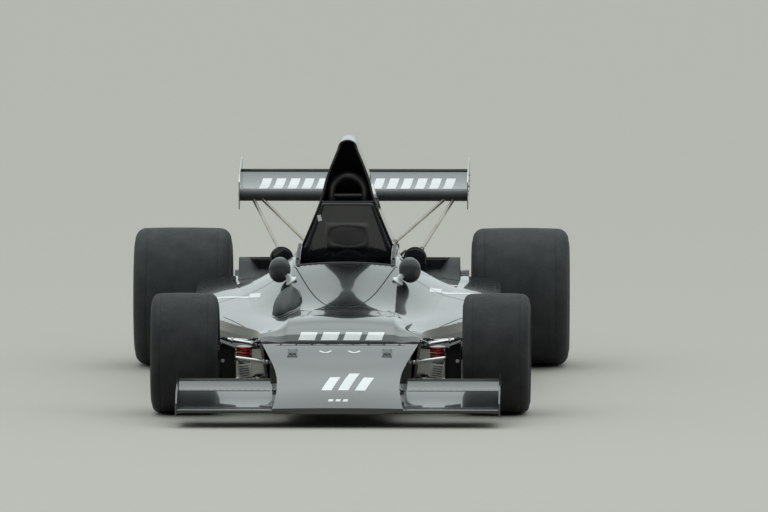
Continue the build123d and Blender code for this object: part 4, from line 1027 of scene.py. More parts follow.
def knuckle_details(wheel):
    side, word = wheel.side, wheel.name.split("_")[1]
    names = ("brake_duct_{} cast_dark", "brake_duct_back_{} gap_black", "knuckle_bolts_{} bolt_steel")
    duct, mouth, studs, caps, ribs = pieces(
        *(name.format(word) for name in (*names, "caliper_caps_{} cast_metal", "knuckle_ribs_{} cast_dark")),
        body="knuckle_" + word,
    )
    # Cooling duct: its two sides leave a slot for the track rod
    front, back, wall = -186, -46, 3
    for x, top in ((488, 322), (560, 350)):
        for low, high, end in ((166, 254, back), (298, top, back), (252, 300, -152)):
            duct.box(P(side * x, (front + end) / 2, (low + high) / 2), (wall, end - front, high - low), 1.2)
    mid, wide, slant = side * 524, 72, math.atan2(28, 72)
    lid = P(mid, (front + back) / 2, 336)
    duct.box(lid, (wide / math.cos(slant), back - front, wall), 1.2, Matrix.Rotation(-side * slant, 3, "Y"))
    duct.box(lid + DOWN * 170, (wide, back - front, wall), 1.2)
    # Back plate round the slot, and a near-black sheet in the mouth: painted shade of the duct's inside
    for z, high in ((210, 86), (310, 22)):
        duct.box(P(mid, -150, z), (wide - 4, wall, high), 1)
    mouth.box(P(mid, -154, 244), (wide - 6, 2, 150))
    for s, z in ((-170, 176), (-170, 312), (-60, 176)):
        studs.bolt((P(side * 486.5, s, z), LEFT * -side))
    studs.bolt((P(side * 546, front - 1, 262), FORTH), 7, 5)
    # Caliper: two halves with a seam, pistons, bridge pipe and bolts
    disc = abs(wheel.centre.x) - DISC_IN
    for x, way in ((disc - 17, -side), (disc + 38.2, side)):
        for s in (84, 118):
            place = P(side * x, s, 280)
            caps.lathe(place, LEFT * way, [(15, -1), (15, 4), (12, 6), (0, 6)], 24)
            for k in SIDES:
                studs.bolt((place + UP * 28 * k, LEFT * way), 5, 5)
    bridge = ((-17, 100, 306), (-14, 120, 326), (10, 138, 332), (34, 120, 322), (36, 100, 304))
    studs.tube(smooth_path([P(side * (disc + x), s, z) for x, s, z in bridge]), 2.6, 8)
    # Steering arm pin, upright bolts and ribs
    studs.bolt((P(side * KINGPIN, RACK_STATION, 262.2), UP), 6)
    for s, z in ((-22, 190), (22, 190), (-22, 310), (22, 310)):
        studs.bolt((P(side * 504.8, s, z), LEFT * -side), 5, 4)
    for z in (205, 232, 259, 286):
        ribs.box(P(side * 503.5, 0, z), (4, 56, 6), 1.5)


def steering_details():
    boots, caps = pieces("rack_boots hose_black", "rack_caps bolt_steel")
    [ends] = pieces("track_rod_nuts bolt_steel", body="rack")
    # Bellows on the rack's ends, clear of the rod that slides through them
    bellows = [(19.5, 0), (20.5, 1), (17.5, 2.5), (20.5, 4), (17.5, 5.5), (20.5, 7), (17.5, 8.5), (14, 10.5)]
    for side in SIDES:
        boots.lathe(P(side * 300, RACK_STATION, RACK_Z), LEFT * side, bellows, 24)
        root, out = P(side * 340, RACK_STATION, RACK_Z), P(side * KINGPIN, RACK_STATION, 276)
        d = (out - root).normalized()
        for along in (14, 168):
            ends.collar(root + d * along, d, 9.2, 13.5, 0, 11)
        ends.lathe(out, UP, [(13.2, -12), (14.5, -8), (14.5, 6), (12, 12.5), (0, 12.8)], 24)
        caps.collar(P(side * 280, RACK_STATION, RACK_Z), LEFT * side, 20.2, 22.5, 0, 13, 28)
        for s in (-95, -75):
            caps.bolt((P(side * 220, s, 263.2), UP), 5, 4)


# Tub, pods and floor
def tub_details():
    rivets, seams, plates, strips = pieces(
        "tub_rivets bolt_steel", "tub_seams gap_black", "tub_hatches bare_metal", "rubbing_strips skid_wood"
    )
    low = node_box("tub")[0].z
    frames = (330, 690, 1060, 1480, 1860)
    for side in SIDES:
        rows = [(s, z) for z in (98, 118, 318) for s in range(-40, 1841, 40)]
        rows += [(s + off, z) for s in frames for off in (-12, 12) for z in range(140, 303, 27)]
        for s, z in rows:
            rivets.rivet(inwards("tub", side, s, z), 3.6)
        lines = [((s, 92), (s, 330), 12) for s in frames] + [((-50, 108), (1890, 108), 60)]
        for start, end, count in lines:
            path = [P(side * BESIDE, *start).lerp(P(side * BESIDE, *end), t) for t in steps(0, 1, count)]
            seams.seam("tub", path, 2.5, LEFT * -side)
        for s, z in ((520, 200), (880, 210), (1270, 215), (1670, 215)):
            point, normal = inwards("tub", side, s, z)
            turn = normal.to_track_quat("Z", "Y").to_matrix()
            plates.box(point + normal * 0.8, (110, 150, 3), 1.2, turn)
            for spot in circle(point + normal * 2.4, 1, 12, (turn @ LEFT * 45, turn @ BACK * 64)):
                rivets.rivet((spot, normal), 3.2)
        # Underside: floor rivets and two rubbing strips
        for s in range(-40, 1851, 42):
            for x in (60, 220, 300):
                rivets.rivet(hit("tub", P(side * x, s, -100), UP), 3.6)
        for s in (440, 1120):
            strips.box(P(side * 140, s, low - 3), (50, 640, 7), 2)
    # Front bulkhead: pedal box cover, two brake cylinders and their caps
    [cover] = pieces("pedal_box_cover cast_metal")
    [cylinders] = pieces("brake_cylinders bolt_steel")
    face = hit("tub", P(0, -400, 220), BACK)[0].y
    cover.box(P(0, face - 3, 235), (340, 6, 170), 2)
    for x in (-90, -30):
        cylinder = [(16, 0), (16, 30), (13, 32), (13, 38), (6, 40), (0, 40)]
        cylinders.lathe(P(x, face - 6, 205), FORTH, cylinder, 24)
    for x in (-150, -75, 0, 75, 150):
        for z in (160, 310):
            cylinders.bolt((P(x, face - 6, z), FORTH), 5, 4)


def radiator_details():
    fins, tubes, tanks = pieces(
        "radiator_fins radiator_core", "radiator_tubes brass", "radiator_tanks cast_dark"
    )
    low, high = node_box("radiators")
    inner, outer = 408, high.x
    mid_z, tall = (low.z + high.z) / 2, high.z - low.z
    for side in SIDES:
        mid = side * (inner + outer) / 2
        for face, way in ((low.y, -1), (high.y, 1)):
            for z in steps(low.z + 22, high.z - 22, 69):
                fin = [(face, z - 0.5), (face + way * 2.5, z), (face, z + 0.8)]
                (a, b), (c, d), (e, f) = [[P(x, s, h) for x in (mid - 142, mid + 142)] for s, h in fin]
                fins.add((a, b, d, c, e, f), [(0, 1, 2, 3), (3, 2, 5, 4), (0, 3, 4), (1, 5, 2)])
            for x in steps(mid - 140, mid + 140, 14):
                tubes.box(P(x, face + way, mid_z), (3, 4, tall - 44))
            for z in (low.z + 10, high.z - 10):
                tanks.box(P(mid, face + way * 3, z), (outer - inner, 8, 20), 3)
            for x in (mid - 147, mid + 147):
                tanks.box(P(x, face + way * 2, mid_z), (9, 6, tall - 20), 2)


def pod_details():
    rims, studs, seams = pieces("mouth_rims gloss_black", "pod_fasteners dark_steel", "pod_seams gap_black")
    for side in SIDES:
        # Hood and scoop mouths: rolled edges
        hood = ((335, 506), (331, 553), (466, 553), (430, 504), (335, 506))
        arch = [(317 - 47 * math.cos(a), 585 + 41 * math.sin(a)) for a in steps(0, math.pi, 12)]
        scoop = [(270, 560), (270, 586), *arch, (364, 582), (364, 560)]
        rims.tube([P(side * x, 2099, z) for x, z in hood], 3.5, 8)
        rims.tube([P(side * x, 1779, z) for x, z in scoop], 3, 8)
        for k in range(9):
            studs.bolt(under(SKINS, side * (380 + 38 * k), 2238), 6, 1.5)
            studs.bolt(under(SKINS, side * 690, 1120 + k * 132), 6, 1.5)
        for s in (1500, 1900):
            seams.seam(SKINS, overhead((side * 384, s), (side * 715, s), 24))
        seams.seam(SKINS, overhead((side * 302, COWL_JOIN), (side * 302, 1885), 50))


def hood_ramps():
    """Glossy ramps that rise from the pods to the outer top edge of each radiator hood."""
    ramps = Piece("hood_ramps", "bulge_black", smooth=50, wall=3)
    columns = ((362, 499), (400, 502), (432, 505), (450, 528), (468, 553), (477, 561), (520, 562), (526, 558))
    for side in SIDES:
        rows = []
        for t in steps(0, 1, 18):
            s = 1905 + 196 * t
            rows.append([])
            for x, z in columns:
                base = under(SKINS, side * x, s)[0].z
                rise = max(0, z - base) * t * t * (3 - 2 * t)
                rows[-1].append(P(side * x, s, base + 1.2 + rise))
            rows[-1].append(under(SKINS, side * 528, s)[0] + DOWN * 2)
        ramps.sheet(rows)


# Air box: station, crown height, then half-width and height of each point down the side
AIR_ROWS = (
    (1600, 1159, (44, 1120), (98, 985), (130, 867), (188, 722), (247, 588)),
    (1820, 1166, (45, 1126), (99, 982), (130, 866), (187, 721), (246, 588)),
    (2050, 1150, (45, 1110), (97, 968), (130, 860), (184, 718), (240, 586)),
    (2280, 1098, (40, 1062), (84, 930), (116, 838), (168, 712), (225, 600)),
    (2450, 1004, (34, 972), (66, 880), (96, 800), (146, 700), (204, 616)),
)
AIR_FRONT = AIR_ROWS[0][0]
AIR_BACK = AIR_ROWS[-1][0] - 10
LIP = 5.0


def air_section(station, inset=0.0):
    """Right half of the air box's section as (x, z) from the crown down, drawn in by inset."""
    rows = [[Vector((0, row[1])), *(Vector(point) for point in row[2:])] for row in AIR_ROWS]
    rows.insert(0, [2 * b - c for b, c in zip(rows[0], rows[1])])
    rows.append([2 * c - b for b, c in zip(rows[-2], rows[-1])])
    i = max(k for k in range(len(AIR_ROWS) - 1) if k == 0 or station > AIR_ROWS[k][0])
    t = (station - AIR_ROWS[i][0]) / (AIR_ROWS[i + 1][0] - AIR_ROWS[i][0])
    crown, *points = [curve(*four, t) for four in zip(*rows[i:i + 4])]
    peak = points[0]
    out = []
    for a in steps(0, math.pi / 2, 9)[:-1]:
        out.append(((peak.x - inset) * math.sin(a), peak.y + (crown.y - inset - peak.y) * math.cos(a)))
    path = smooth_path([P(point.x - inset, 0, point.y) for point in points], 7)
    return out + [(point.x, point.z) for point in path]


def air_ring(station, inset=0.0):
    """Whole section of the air box, from the foot on its right over the crown to the foot on its left."""
    half = air_section(station, inset)
    return [P(-x, station, z) for x, z in reversed(half[1:])] + [P(x, station, z) for x, z in half]


def airbox_shell():
    shell = Piece("airbox_shell", "gloss_black", smooth=40, replaces="airbox")
    stations = steps(AIR_FRONT, AIR_BACK, 34)
    # Inner skin from the dark sheet forwards, rolled lip, outer skin and rounded back
    rings = [air_ring(s, LIP * 1.8) for s in reversed(stations[2:20])]
    lip = ((12, 1.8), (-1, 1.6), (-3.5, 1.0), (-3, 0.4), (-1, 0.1))
    rings += [air_ring(AIR_FRONT + s, LIP * share) for s, share in lip]
    rings += [air_ring(s) for s in stations]
    for a in steps(0, math.pi / 2, 6)[1:]:
        rings.append(air_ring(AIR_BACK + 14 * math.sin(a), 22 * (1 - math.cos(a))))
    first = shell.sheet(rings)
    wide = len(rings[0])
    last = first + (len(rings) - 1) * wide
    shell.faces.append(tuple(range(last, last + wide)))
    # Near-black sheet across the duct: painted shade of the duct's deep inside
    [shade_sheet] = pieces("airbox_baffle gap_black")
    ring = air_ring(1850, LIP * 1.8)
    shade_sheet.add(ring, [range(len(ring))])
    # Front panel below the mouth, with a rolled top edge and a raised border
    panel = Piece("airbox_front_panel", "gloss_black", wall=4)
    rim, mark = pieces("airbox_mouth_rim gloss_black", "airbox_blank_mark white_paint")
    half = [(x, z) for x, z in air_section(AIR_FRONT, LIP * 1.4) if z < 868]
    half[0] = (half[0][0], 866)
    rows = [[P(x * f, AIR_FRONT + 1 - 6 * (1 - f * f), z) for f in steps(-1, 1, 12)] for x, z in half]
    panel.sheet(rows)
    rim.tube(rows[0], 5.5)
    for side in SIDES:
        rim.tube([P(side * x, AIR_FRONT - 1, z) for x, z in air_section(AIR_FRONT, 2)], 4.8)
    # Plain small mark on the panel's right edge
    mark.box(P(-133, AIR_FRONT - 5.5, 789), (18, 1.2, 29), 0, turned("Y", -14))


def airbox_details():
    seams, studs = pieces("airbox_seams gap_black", "airbox_fasteners dark_steel")

    def wall(side, station, z):
        """Point and outward normal on the shell's flank."""
        section = air_section(station)
        for (xa, za), (xb, zb) in zip(section, section[1:]):
            if zb <= z <= za and za > zb:
                along = P(xb - xa, 0, zb - za).normalized()
                x = xa + (xb - xa) * (za - z) / (za - zb)
                return P(side * x, station, z), P(-along.z * side, 0, along.x)
        return None

    for side in SIDES:
        for s0, z0, s1, z1 in ((1612, 868, 2440, 800), (1980, 600, 1980, 1120)):
            spots = [wall(side, s0 + (s1 - s0) * t, z0 + (z1 - z0) * t) for t in steps(0, 1, 30)]
            seams.strip([spot for spot in spots if spot], 3, 0.8)
        for k in range(12):
            studs.bolt(wall(side, 1630 + k * 70, 880 - k * 5.8), 5, 2)
            studs.bolt(wall(side, 1630 + k * 70, 628 + k * 1.2), 5, 2)


# Engine
CYLINDERS = (-180, -60, 60, 180)  # along the engine, from its middle
TRUMPET_X, FUEL_X, TAIL_X = 56, 112, 230
CASE_X, SPRING_STATION = 113, 2750


def engine_details():
    low, high = node_box("engine_block")
    start, end = low.y, high.y
    middle = (start + end) / 2
    lips, rails, nozzles, bolts, castings, pipes = pieces(
        "trumpet_lips rim_metal", "fuel_rails steel_tube", "fuel_nozzles brass", "engine_bolts bolt_steel",
        "engine_castings cast_metal", "water_rails bare_metal",
    )
    trumpet = (
        (21, -20), (21.5, -6), (26, 2), (32.5, 6), (33.5, 8), (32.5, 9.5), (27, 6.5), (23.5, 0), (23.5, -20)
    )
    nozzle = ((6, -6), (6, 6), (8, 7), (8, 13), (4, 14), (3.5, 26), (0, 26))
    cap = ((27.5, 0), (27.5, 4), (22, 8), (0, 9))
    for side in SIDES:
        out = LEFT * side
        for off in CYLINDERS:
            s = middle + off
            lips.lathe(P(side * TRUMPET_X, s, 594), UP, trumpet)
            lips.collar(P(side * TRUMPET_X, s, 440), UP, 24.2, 27.5, 0, 13, 28)
            spot = P(side * 82, s, 470)
            d = (out + UP / 2).normalized()
            nozzles.lathe(spot, d, nozzle, 10)
            feed = ((105, s, 496), (FUEL_X, s + 20, 470), (FUEL_X, middle + off / 1.5, 452))
            rails.tube(smooth_path([spot + d * 24, *on_side(side, feed)], 5), 2.6, 8)
            # Block ribs and water rail bosses
            spot = hit("engine_block", P(side * 600, s, 300), -out)
            castings.box(spot[0], (20, 18, 100), 4, turned("Y", side * 47))
            spot = hit("engine_block", P(side * 600, s, 215), -out)
            castings.box(spot[0], (12, 24, 70), 4)
            for z in (-22, 22):
                bolts.bolt((spot[0] + out * 6 + UP * z, out), 6, 5)
        rails.tube([P(side * FUEL_X, s, 452) for s in (start + 50, end - 50)], 8, 12)
        castings.box(P(side * TRUMPET_X, middle, 432), (62, 500, 12), 3)
        # Cam cover bolts along both edges and between the ridges
        for k in range(10):
            for x, z in ((417, 502), (368, 560), (317, 608)):
                spot = hit("cam_covers", P(side * x, start + 30 + 53.3 * k, z), P(-side, 0, -1))
                bolts.bolt(spot, 4.5, 4)
        rail = ((130, 1906, 380), (122, 1925, 430), (124, 1980, 452), (128, 2200, 456), (128, 2400, 456))
        pipes.tube(smooth_path(on_side(side, rail), 8), 14, 14)
        for k in range(14):
            bolts.bolt((P(side * 88, start + 40 + k * 36, 103.9), DOWN), 4, 4)
        # Rear face bolts and the ends of the cam shafts
        for x, z in ((250, 400), (190, 440), (260, 360), (150, 380), (200, 340)):
            bolts.bolt((P(side * x, end - 0.5, z), BACK), 6, 6)
        for x, z in ((243, 480), (292, 428)):
            castings.lathe(P(side * x, end - 13, z), BACK, cap, 28)
    castings.lathe(P(0, end - 2, 440), BACK, [(50, 0), (50, 10), (43, 13), (0, 14)], 36)
    for spot in circle(P(0, end + 9, 440), 45, 8, (LEFT, UP)):
        bolts.bolt((spot, BACK), 3.5)
    # Oil filter low on the left, fuel metering unit in the valley
    can = ((30, 0), (37, 6), (38, 10), (38, 85), (34, 93), (12, 96), (0, 97))
    castings.lathe(P(160, start + 100, 205), P(1, 0, -0.15), can)
    castings.box(P(0, middle, 425), (50, 200, 50), 6)


def exhaust_details():
    rings, springs, flanges = pieces(
        "exhaust_rings exhaust_steel", "exhaust_springs bolt_steel", "exhaust_flanges cast_dark"
    )
    tail = ((38.5, -12), (40.5, -4), (40.2, 3), (38.5, 5), (34, 4), (33.5, -12))
    for side in SIDES:
        root, out = P(side * 350, 2440, 360), P(side * TAIL_X, 2607, 400)
        d = (out - root).normalized()
        for along in (30, 170):
            rings.collar(root + d * along, d, 29.8, 33.5, -4, 4, 32)
        for s, z in ((2615, 400.3), (2900, 409), (3148, 419)):
            rings.collar(P(side * TAIL_X, s, z), BACK, 37.8, 41.2, -5, 5, 36)
        rings.lathe(P(side * TAIL_X, 3160, 420.3), BACK, tail, 40)
        for off in CYLINDERS:
            a, b = P(side * 200, 2150 + off, 330), P(side * 350, 2190 + off, 360)
            e = (b - a).normalized()
            face = hit("engine_block", b, -e)[0]
            flanges.box(face + e * 4, (10, 75, 52), 4, turned("Y", side * 12))
            for k in (-30, 30):
                rings.bolt((face + e * 9 + BACK * k, e), 5.5, 6)
            rings.collar(b - e * 45, e, 19.8, 22.2, -3, 3, 28)
        for k in (-36, 36):
            springs.tube(helix(root + d * 50 + UP * k, root + d * 120 + UP * k, 5, 8, 8), 1.3, 5)


def gearbox_details():
    bolts, ribs, lamp, lens, pipes = pieces(
        "gearbox_bolts bolt_steel", "gearbox_ribs cast_metal", "rear_lamp_case cover_black",
        "rear_lamp_lens lamp_red", "rear_brake_pipes bolt_steel",
    )
    for s in (2640, 2890):
        for a in turns(22):
            x = max(-108, min(108, 160 * math.cos(a)))
            z = 315 + max(-112, min(112, 160 * math.sin(a)))
            bolts.bolt((P(x, s, z), FORTH), 4.5, 4)
            bolts.bolt((P(x, s + 10, z), BACK), 4.5, 4)
    for side in SIDES:
        for s in (2700, 2780, 2840):
            ribs.box(P(side * CASE_X, s, 315), (6, 8, 190), 2)
        for z in (250, 380):
            ribs.box(P(side * CASE_X, 2765, z), (6, 230, 8), 2)
        for s in (2940, 3000, 3060):
            ribs.box(P(side * 86, s, 330), (5, 7, 150), 2)
        # Bell housing ribs
        for z in (230, 300, 370):
            ribs.tube([P(side * 151, 2446, z), P(side * 114, 2556, z)], 6, 8)
        for x in range(40, 131, 18):
            bolts.bolt((P(side * x, 2775.5, 560), BACK))
        # Brake pipe along the case to each inboard disc
        path = ((60, 2560, 436), (62, 2600, 440), (100, 2620, 436), (140, 2622, 420), (152, 2624, 400))
        pipes.tube(smooth_path(on_side(side, path)), 3, 8)
    for s in (2700, 2780, 2850):
        ribs.box(P(0, s, 431), (170, 8, 6), 2)
    # End cover with its bolts, filler cap and drain plug
    ribs.lathe(P(0, 3119.5, 330), BACK, [(70, 0), (70, 8), (64, 12), (35, 14), (30, 22), (12.5, 24)], 40)
    for spot in circle(P(0, 3128, 330), 64, 10, (LEFT, UP), 0.5):
        bolts.bolt((spot, BACK), 4, 4)
    ribs.lathe(P(60, 2980, 419.5), UP, [(20, 0), (20, 10), (24, 11), (24, 20), (20, 23), (0, 23)], 20)
    bolts.bolt((P(0, 2800, 199.5), DOWN), 12, 8)
    # Rear lamp under the wing post's rear edge
    lamp.box(P(0, 3128, 462), (86, 30, 60), 6)
    lens.box(P(0, 3144, 462), (74, 10, 48), 4)


# Rear suspension
def rear_springs():
    coils = Piece("rear_coils", "spring_red", replaces="rear_springs")
    dampers, perches, eyes = pieces(
        "rear_dampers pale_metal", "rear_spring_perches cast_dark", "rear_damper_eyes bolt_steel"
    )
    perch = ((10, -10), (30, -8), (36, -5), (36, -1), (30, 1), (10, 2))
    for side in SIDES:
        line = ((190, 560), (235, 518), (445, 317), (530, 235))
        top, a, b, foot = [P(side * x, SPRING_STATION, z) for x, z in line]
        d = (b - a).normalized()
        start = top + d * 22
        body = [(9, 0), (6.5, 10), (6.5, 130), (20, 131), (22.5, 134), (22.5, 300), (19, 304), (12, 310)]
        coils.tube(helix(a + d * 6, b - d * 6, 29.5, 8.5, 20), 5.8)
        dampers.lathe(start, d, body + [(12, (foot - start).length - 32)])
        perches.lathe(a, d, perch, 36)
        perches.lathe(b, -d, perch, 36)
        for k in range(12):
            perches.lathe(b - d * (10 + 6 * k), d, [(22.5, -1), (23.8, 0), (22.5, 1)], 28)
        eye = foot - d * 38
        eyes.lathe(eye, BACK, [(7.5, -14), (17, -14), (18, -10), (18, 10), (17, 14), (7.5, 14)], 24)
        for way in (FORTH, BACK):
            eyes.bolt((eye + way * 16, way), 7, 6)


def rear_corner(side, ribs, bolts, links):
    """Upright, inboard brake, shaft joints and link ends of one rear wheel."""
    word, out = ("left" if side > 0 else "right"), LEFT * side
    low, high = node_box("tyre_rear_left")
    station, radius = (low.y + high.y) / 2, (high.z - low.z) / 2
    names = ("rear_brake_rings_{} brake_iron", "rear_brake_holes_{} gap_black")
    names += ("shaft_joint_bolts_{} bolt_steel", "shaft_gaiters_{} hose_black")
    rings, holes, joints, gaiters = pieces(*(name.format(word) for name in names), body="wheel_rear_" + word)
    hub = P(side * 525, station, radius)
    ribs.lathe(hub, -out, [(60, -1), (60, 6), (52, 9), (42.5, 9), (42.5, 0)], 40)
    for spot in circle(hub - out * 7.5, 51, 8, offset=0.5):
        bolts.bolt((spot, -out), 4.5, 4)
    for y, z, tall, tilt in ((30, 425, 50, 14), (-30, 425, 50, -14), (45, 235, 70, 0), (-45, 235, 70, 0)):
        ribs.box(P(side * 522, station + y, z), (8, 7, tall), 2, turned("X", tilt))
    for x, way in ((130, -out), (150, out)):
        brake_disc_faces(rings, holes, P(side * x, station, radius), way, 66, 64, (80, 95, 110), 18)
    for x, way in ((178, out), (464.5, -out)):
        for spot in circle(P(side * x, station, radius), 26, 6):
            joints.bolt((spot, way), 4.5, 4)
    # Rubber gaiter over each joint of the shaft
    for x, way, more in ((464, -out, 0), (179, out, 4)):
        folds = [(r - 3 * k + more, along + 10 * k) for k in range(5) for r, along in ((36, 0), (31, 5))]
        gaiters.lathe(P(side * x, station, radius), way, folds + [(18.5, 52)], 28)
    # Inboard caliper, carried by the gearbox, standing clear of the disc
    [caliper] = pieces("rear_caliper_" + word + " cast_metal")
    for x in (112, 168):
        caliper.box(P(side * x, station - 98, radius + 60), (24, 62, 78), 5, turned("X", 32))
    caliper.box(P(side * 140, station - 134, radius + 92), (78, 26, 60), 4, turned("X", 44))
    # Lock nuts and ball ends on the links
    for a, b in (
        ((540, 2630, 208), (100, 2480, 220)), ((540, 2704, 208), (100, 2860, 220)),
        ((540, 2660, 440), (92, 2480, 500)), ((540, 2630, 240), (130, 2300, 200)),
    ):
        start, end = on_side(side, (a, b))
        d = (end - start).normalized()
        for place, way in ((start + d * 22, d), (end - d * 30, -d)):
            links.collar(place, way, 10.2, 15.2, 0, 12)
            links.lathe(place, way, [(10.2, 13), (12.5, 14), (12.5, 43), (10.2, 45)], 16)


# Rear wing
def wing_details():
    bars, rivets, lip, seams, studs, edges = pieces(
        "rear_wing_bars white_paint", "rear_wing_rivets dark_steel", "rear_wing_lip bare_metal",
        "rear_wing_seams gap_black", "rear_wing_bolts bolt_steel", "rear_wing_edges steel_tube",
    )
    pitch, wide, slant = 68, 44, 16
    for k in range(14):
        x = slant - 473 + k * pitch
        corners = ((x, 3110), (x + wide, 3110), (x + wide + slant, 3370), (x + slant, 3370))
        bars.decal("rear_wing", above(*corners), DOWN, 5, 18)
    for x in range(-530, 531, 20):
        for s in (3072, 3478):
            rivets.rivet(under("rear_wing", x, s), 2.6)
        rivets.rivet(hit("rear_wing", P(x, 3090, 600), UP), 2.6)
    low, high = node_box("rear_wing")
    lip.box(P(0, high.y - 1, high.z + 1), (high.x - low.x, 2.5, 10), 0.8)
    lip.box(P(0, high.y - 8, high.z + 0.2), (high.x - low.x, 14, 2.2), 0.8)
    seams.seam("rear_wing", overhead((-540, 3062), (540, 3062), 27), 4)
    # Matt black strip over the whole leading edge
    [strip] = pieces("rear_wing_edge_strip cover_black", smooth=60)
    rows = []
    for z in (759, 765, 771, 777, 783, 789, 795, 801, 805, 808):
        spots = [hit("rear_wing", P(x, 2900, z), BACK) for x in steps(-543, 543, 24)]
        rows.append([point + normal * 1.2 for point, normal in spots])
    strip.sheet(rows)
    for side in SIDES:
        out = LEFT * side
        for s, z in ((3050, 790), (3150, 800), (3280, 812), (3400, 830), (3480, 850)):
            studs.bolt((P(side * 550, s, z), out), 6, 4)
        edge = ((3010, 722), (3010, 850), (3060, 884), (3510, 930), (3510, 780), (3300, 722), (3010, 722))
        edges.tube([P(side * 548, s, z) for s, z in edge], 3.2, 8)
        # Nuts and forks at the ends of the stays
        for x, foot in ((487, (333, 2220, 579)), (450, (200, 2320, 606))):
            top, foot = on_side(side, ((x, 3070, 775), foot))
            d = (foot - top).normalized()
            studs.collar(top + d * 20, d, 8.2, 12, 0, 11)
            studs.collar(foot - d * 46, -d, 8.2, 12, 0, 11)
            studs.tube([top + d * 4 - LEFT * 16, top + d * 4 + LEFT * 16], 3.5, 8)
            for k in (-10.5, 10.5):
                edges.box(top + d * 6 + P(k, 0, 4), (3, 32, 24), 1)
        for s, z in ((3095, 480), (3070, 600), (3150, 740), (3250, 790), (3170, 650)):
            studs.bolt(hit("wing_post", P(side * 300, s, z), -out), 5, 4)
        for s, z in ((3110, 560), (3170, 670)):
            edges.lathe(P(side * 56, s, z), out, [(27.5, 0), (27.5, 2), (32.5, 2), (32.5, 0)])


for details in (
    nose_details, front_wing_details, cowl_details, cockpit_details, seat_and_belts, steering_wheel_details,
    mirror_details, hand_bulge_details, front_suspension, steering_details, tub_details, radiator_details,
    pod_details, hood_ramps, airbox_shell, airbox_details, engine_details, exhaust_details, gearbox_details,
    rear_springs, wing_details,
):
    details()
for name in ("front_left", "front_right", "rear_left", "rear_right"):
    wheel = Wheel(name)
    tyre_details(wheel)
    rim_details(wheel)
    nut_details(wheel)
    if wheel.front:
        knuckle_details(wheel)
rear_forms = pieces(
    "rear_upright_ribs cast_metal", "rear_upright_bolts bolt_steel", "rear_link_ends bolt_steel"
)
for side in SIDES:
    rear_corner(side, *rear_forms)
for piece in Piece.every:
    piece.make()

# Camera on the photograph's line of sight, far away behind a long lens; focal length and
# the image point of the front axle's foot are in pixels of the photograph
CAM_AZIMUTH = math.radians(1.14)
CAM_ELEVATION = math.radians(5.0)
CAM_DISTANCE = 100.0
FOCAL_PX = 21459.0
FRAME_PX = (768.0, 512.0)
AXLE_FOOT_PX = (340.75, 413.5)

aim_right = math.atan((FRAME_PX[0] / 2 - AXLE_FOOT_PX[0]) / FOCAL_PX)
aim_up = math.atan((AXLE_FOOT_PX[1] - FRAME_PX[1] / 2) / FOCAL_PX)
level = math.cos(CAM_ELEVATION)
away = Vector((math.sin(CAM_AZIMUTH) * level, -math.cos(CAM_AZIMUTH) * level, math.sin(CAM_ELEVATION)))
cam_data = bpy.data.cameras.new("camera")
cam_data.sensor_width = 36.0
cam_data.lens = FOCAL_PX / FRAME_PX[0] * cam_data.sensor_width
cam_data.clip_start = 0.5
cam_data.clip_end = 600.0
camera = bpy.data.objects.new("camera", cam_data)
camera.location = FRONT_AXLE + away * CAM_DISTANCE
camera.rotation_euler = (math.pi / 2 - (CAM_ELEVATION - aim_up), 0, CAM_AZIMUTH - aim_right)
scene.collection.objects.link(camera)
scene.camera = camera

# Floor and light
FLOOR_HALF = 220.0
corners = [(x * FLOOR_HALF, y * FLOOR_HALF, 0) for x, y in ((-1, -1), (1, -1), (1, 1), (-1, 1))]
floor_mesh = bpy.data.meshes.new("floor")
floor_mesh.from_pydata(corners, [], [(0, 1, 2, 3)])
floor_mesh.materials.append(plain_material("floor_pale", (0.385, 0.37, 0.33), 0.9))
floor = bpy.data.objects.new("floor", floor_mesh)
scene.collection.objects.link(floor)

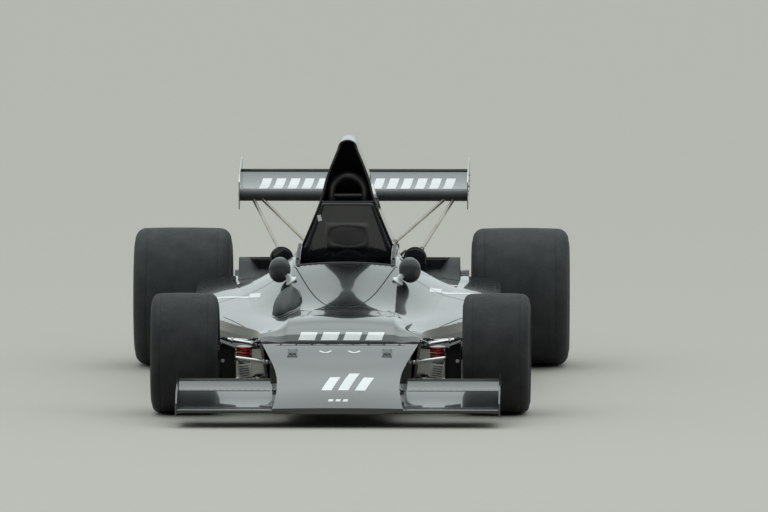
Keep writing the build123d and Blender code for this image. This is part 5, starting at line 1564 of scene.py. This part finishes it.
# Two soft lamps that point at the car and leave no mirror image
AIM = Vector((0, 0, 0.4))
for name, place, size, power in (("key", (-5, -7, 9), (6, 6), 150), ("fill", (7, -5, 6), (6, 4), 70)):
    light = bpy.data.lights.new(name, "AREA")
    light.shape = "RECTANGLE"
    light.size, light.size_y = size
    light.energy = power
    lamp = bpy.data.objects.new(name, light)
    lamp.location = place
    lamp.rotation_euler = (AIM - Vector(place)).to_track_quat("-Z", "Y").to_euler()
    lamp.visible_glossy = False
    scene.collection.objects.link(lamp)

# World: a bright overcast sky, darker low down ahead of the car; the camera sees a plain pale backdrop
BACKDROP = (0.44, 0.435, 0.405)
SKY_TILT = 0.25
SKY_STOPS = (
    (0.0, (0.05, 0.055, 0.06)), (0.97, (1.95, 2.10, 2.10)), (0.12, (0.10, 0.11, 0.12)),
    (0.36, (0.78, 0.86, 0.86)), (0.80, (0.90, 0.99, 0.99)),
)
world = bpy.data.worlds.new("world")
scene.world = world
world.use_nodes = True
nodes, links = world.node_tree.nodes, world.node_tree.links
split = nodes.new("ShaderNodeSeparateXYZ")
links.new(nodes.new("ShaderNodeTexCoord").outputs["Generated"], split.inputs["Vector"])
# Place on the sky ramp: height, plus a share of the way back
slope = nodes.new("ShaderNodeMath")
slope.operation = "MULTIPLY_ADD"
slope.inputs[1].default_value = SKY_TILT
links.new(split.outputs["Y"], slope.inputs[0])
links.new(split.outputs["Z"], slope.inputs[2])
ramp = nodes.new("ShaderNodeValToRGB")
links.new(slope.outputs["Value"], ramp.inputs["Fac"])
elements = ramp.color_ramp.elements
for element, (position, color) in zip(elements, SKY_STOPS):
    element.position, element.color = position, (*color, 1)
for position, color in SKY_STOPS[2:]:
    elements.new(position).color = (*color, 1)
mix = nodes.new("ShaderNodeMix")
mix.data_type = "RGBA"
mix.inputs[MIX_B].default_value = (*BACKDROP, 1)
links.new(nodes.new("ShaderNodeLightPath").outputs["Is Camera Ray"], mix.inputs[MIX_FACTOR])
links.new(ramp.outputs["Color"], mix.inputs[MIX_A])
links.new(mix.outputs[MIX_RESULT], nodes["Background"].inputs["Color"])
nodes["Background"].inputs["Strength"].default_value = 1.0
scene.view_settings.view_transform = "Standard"
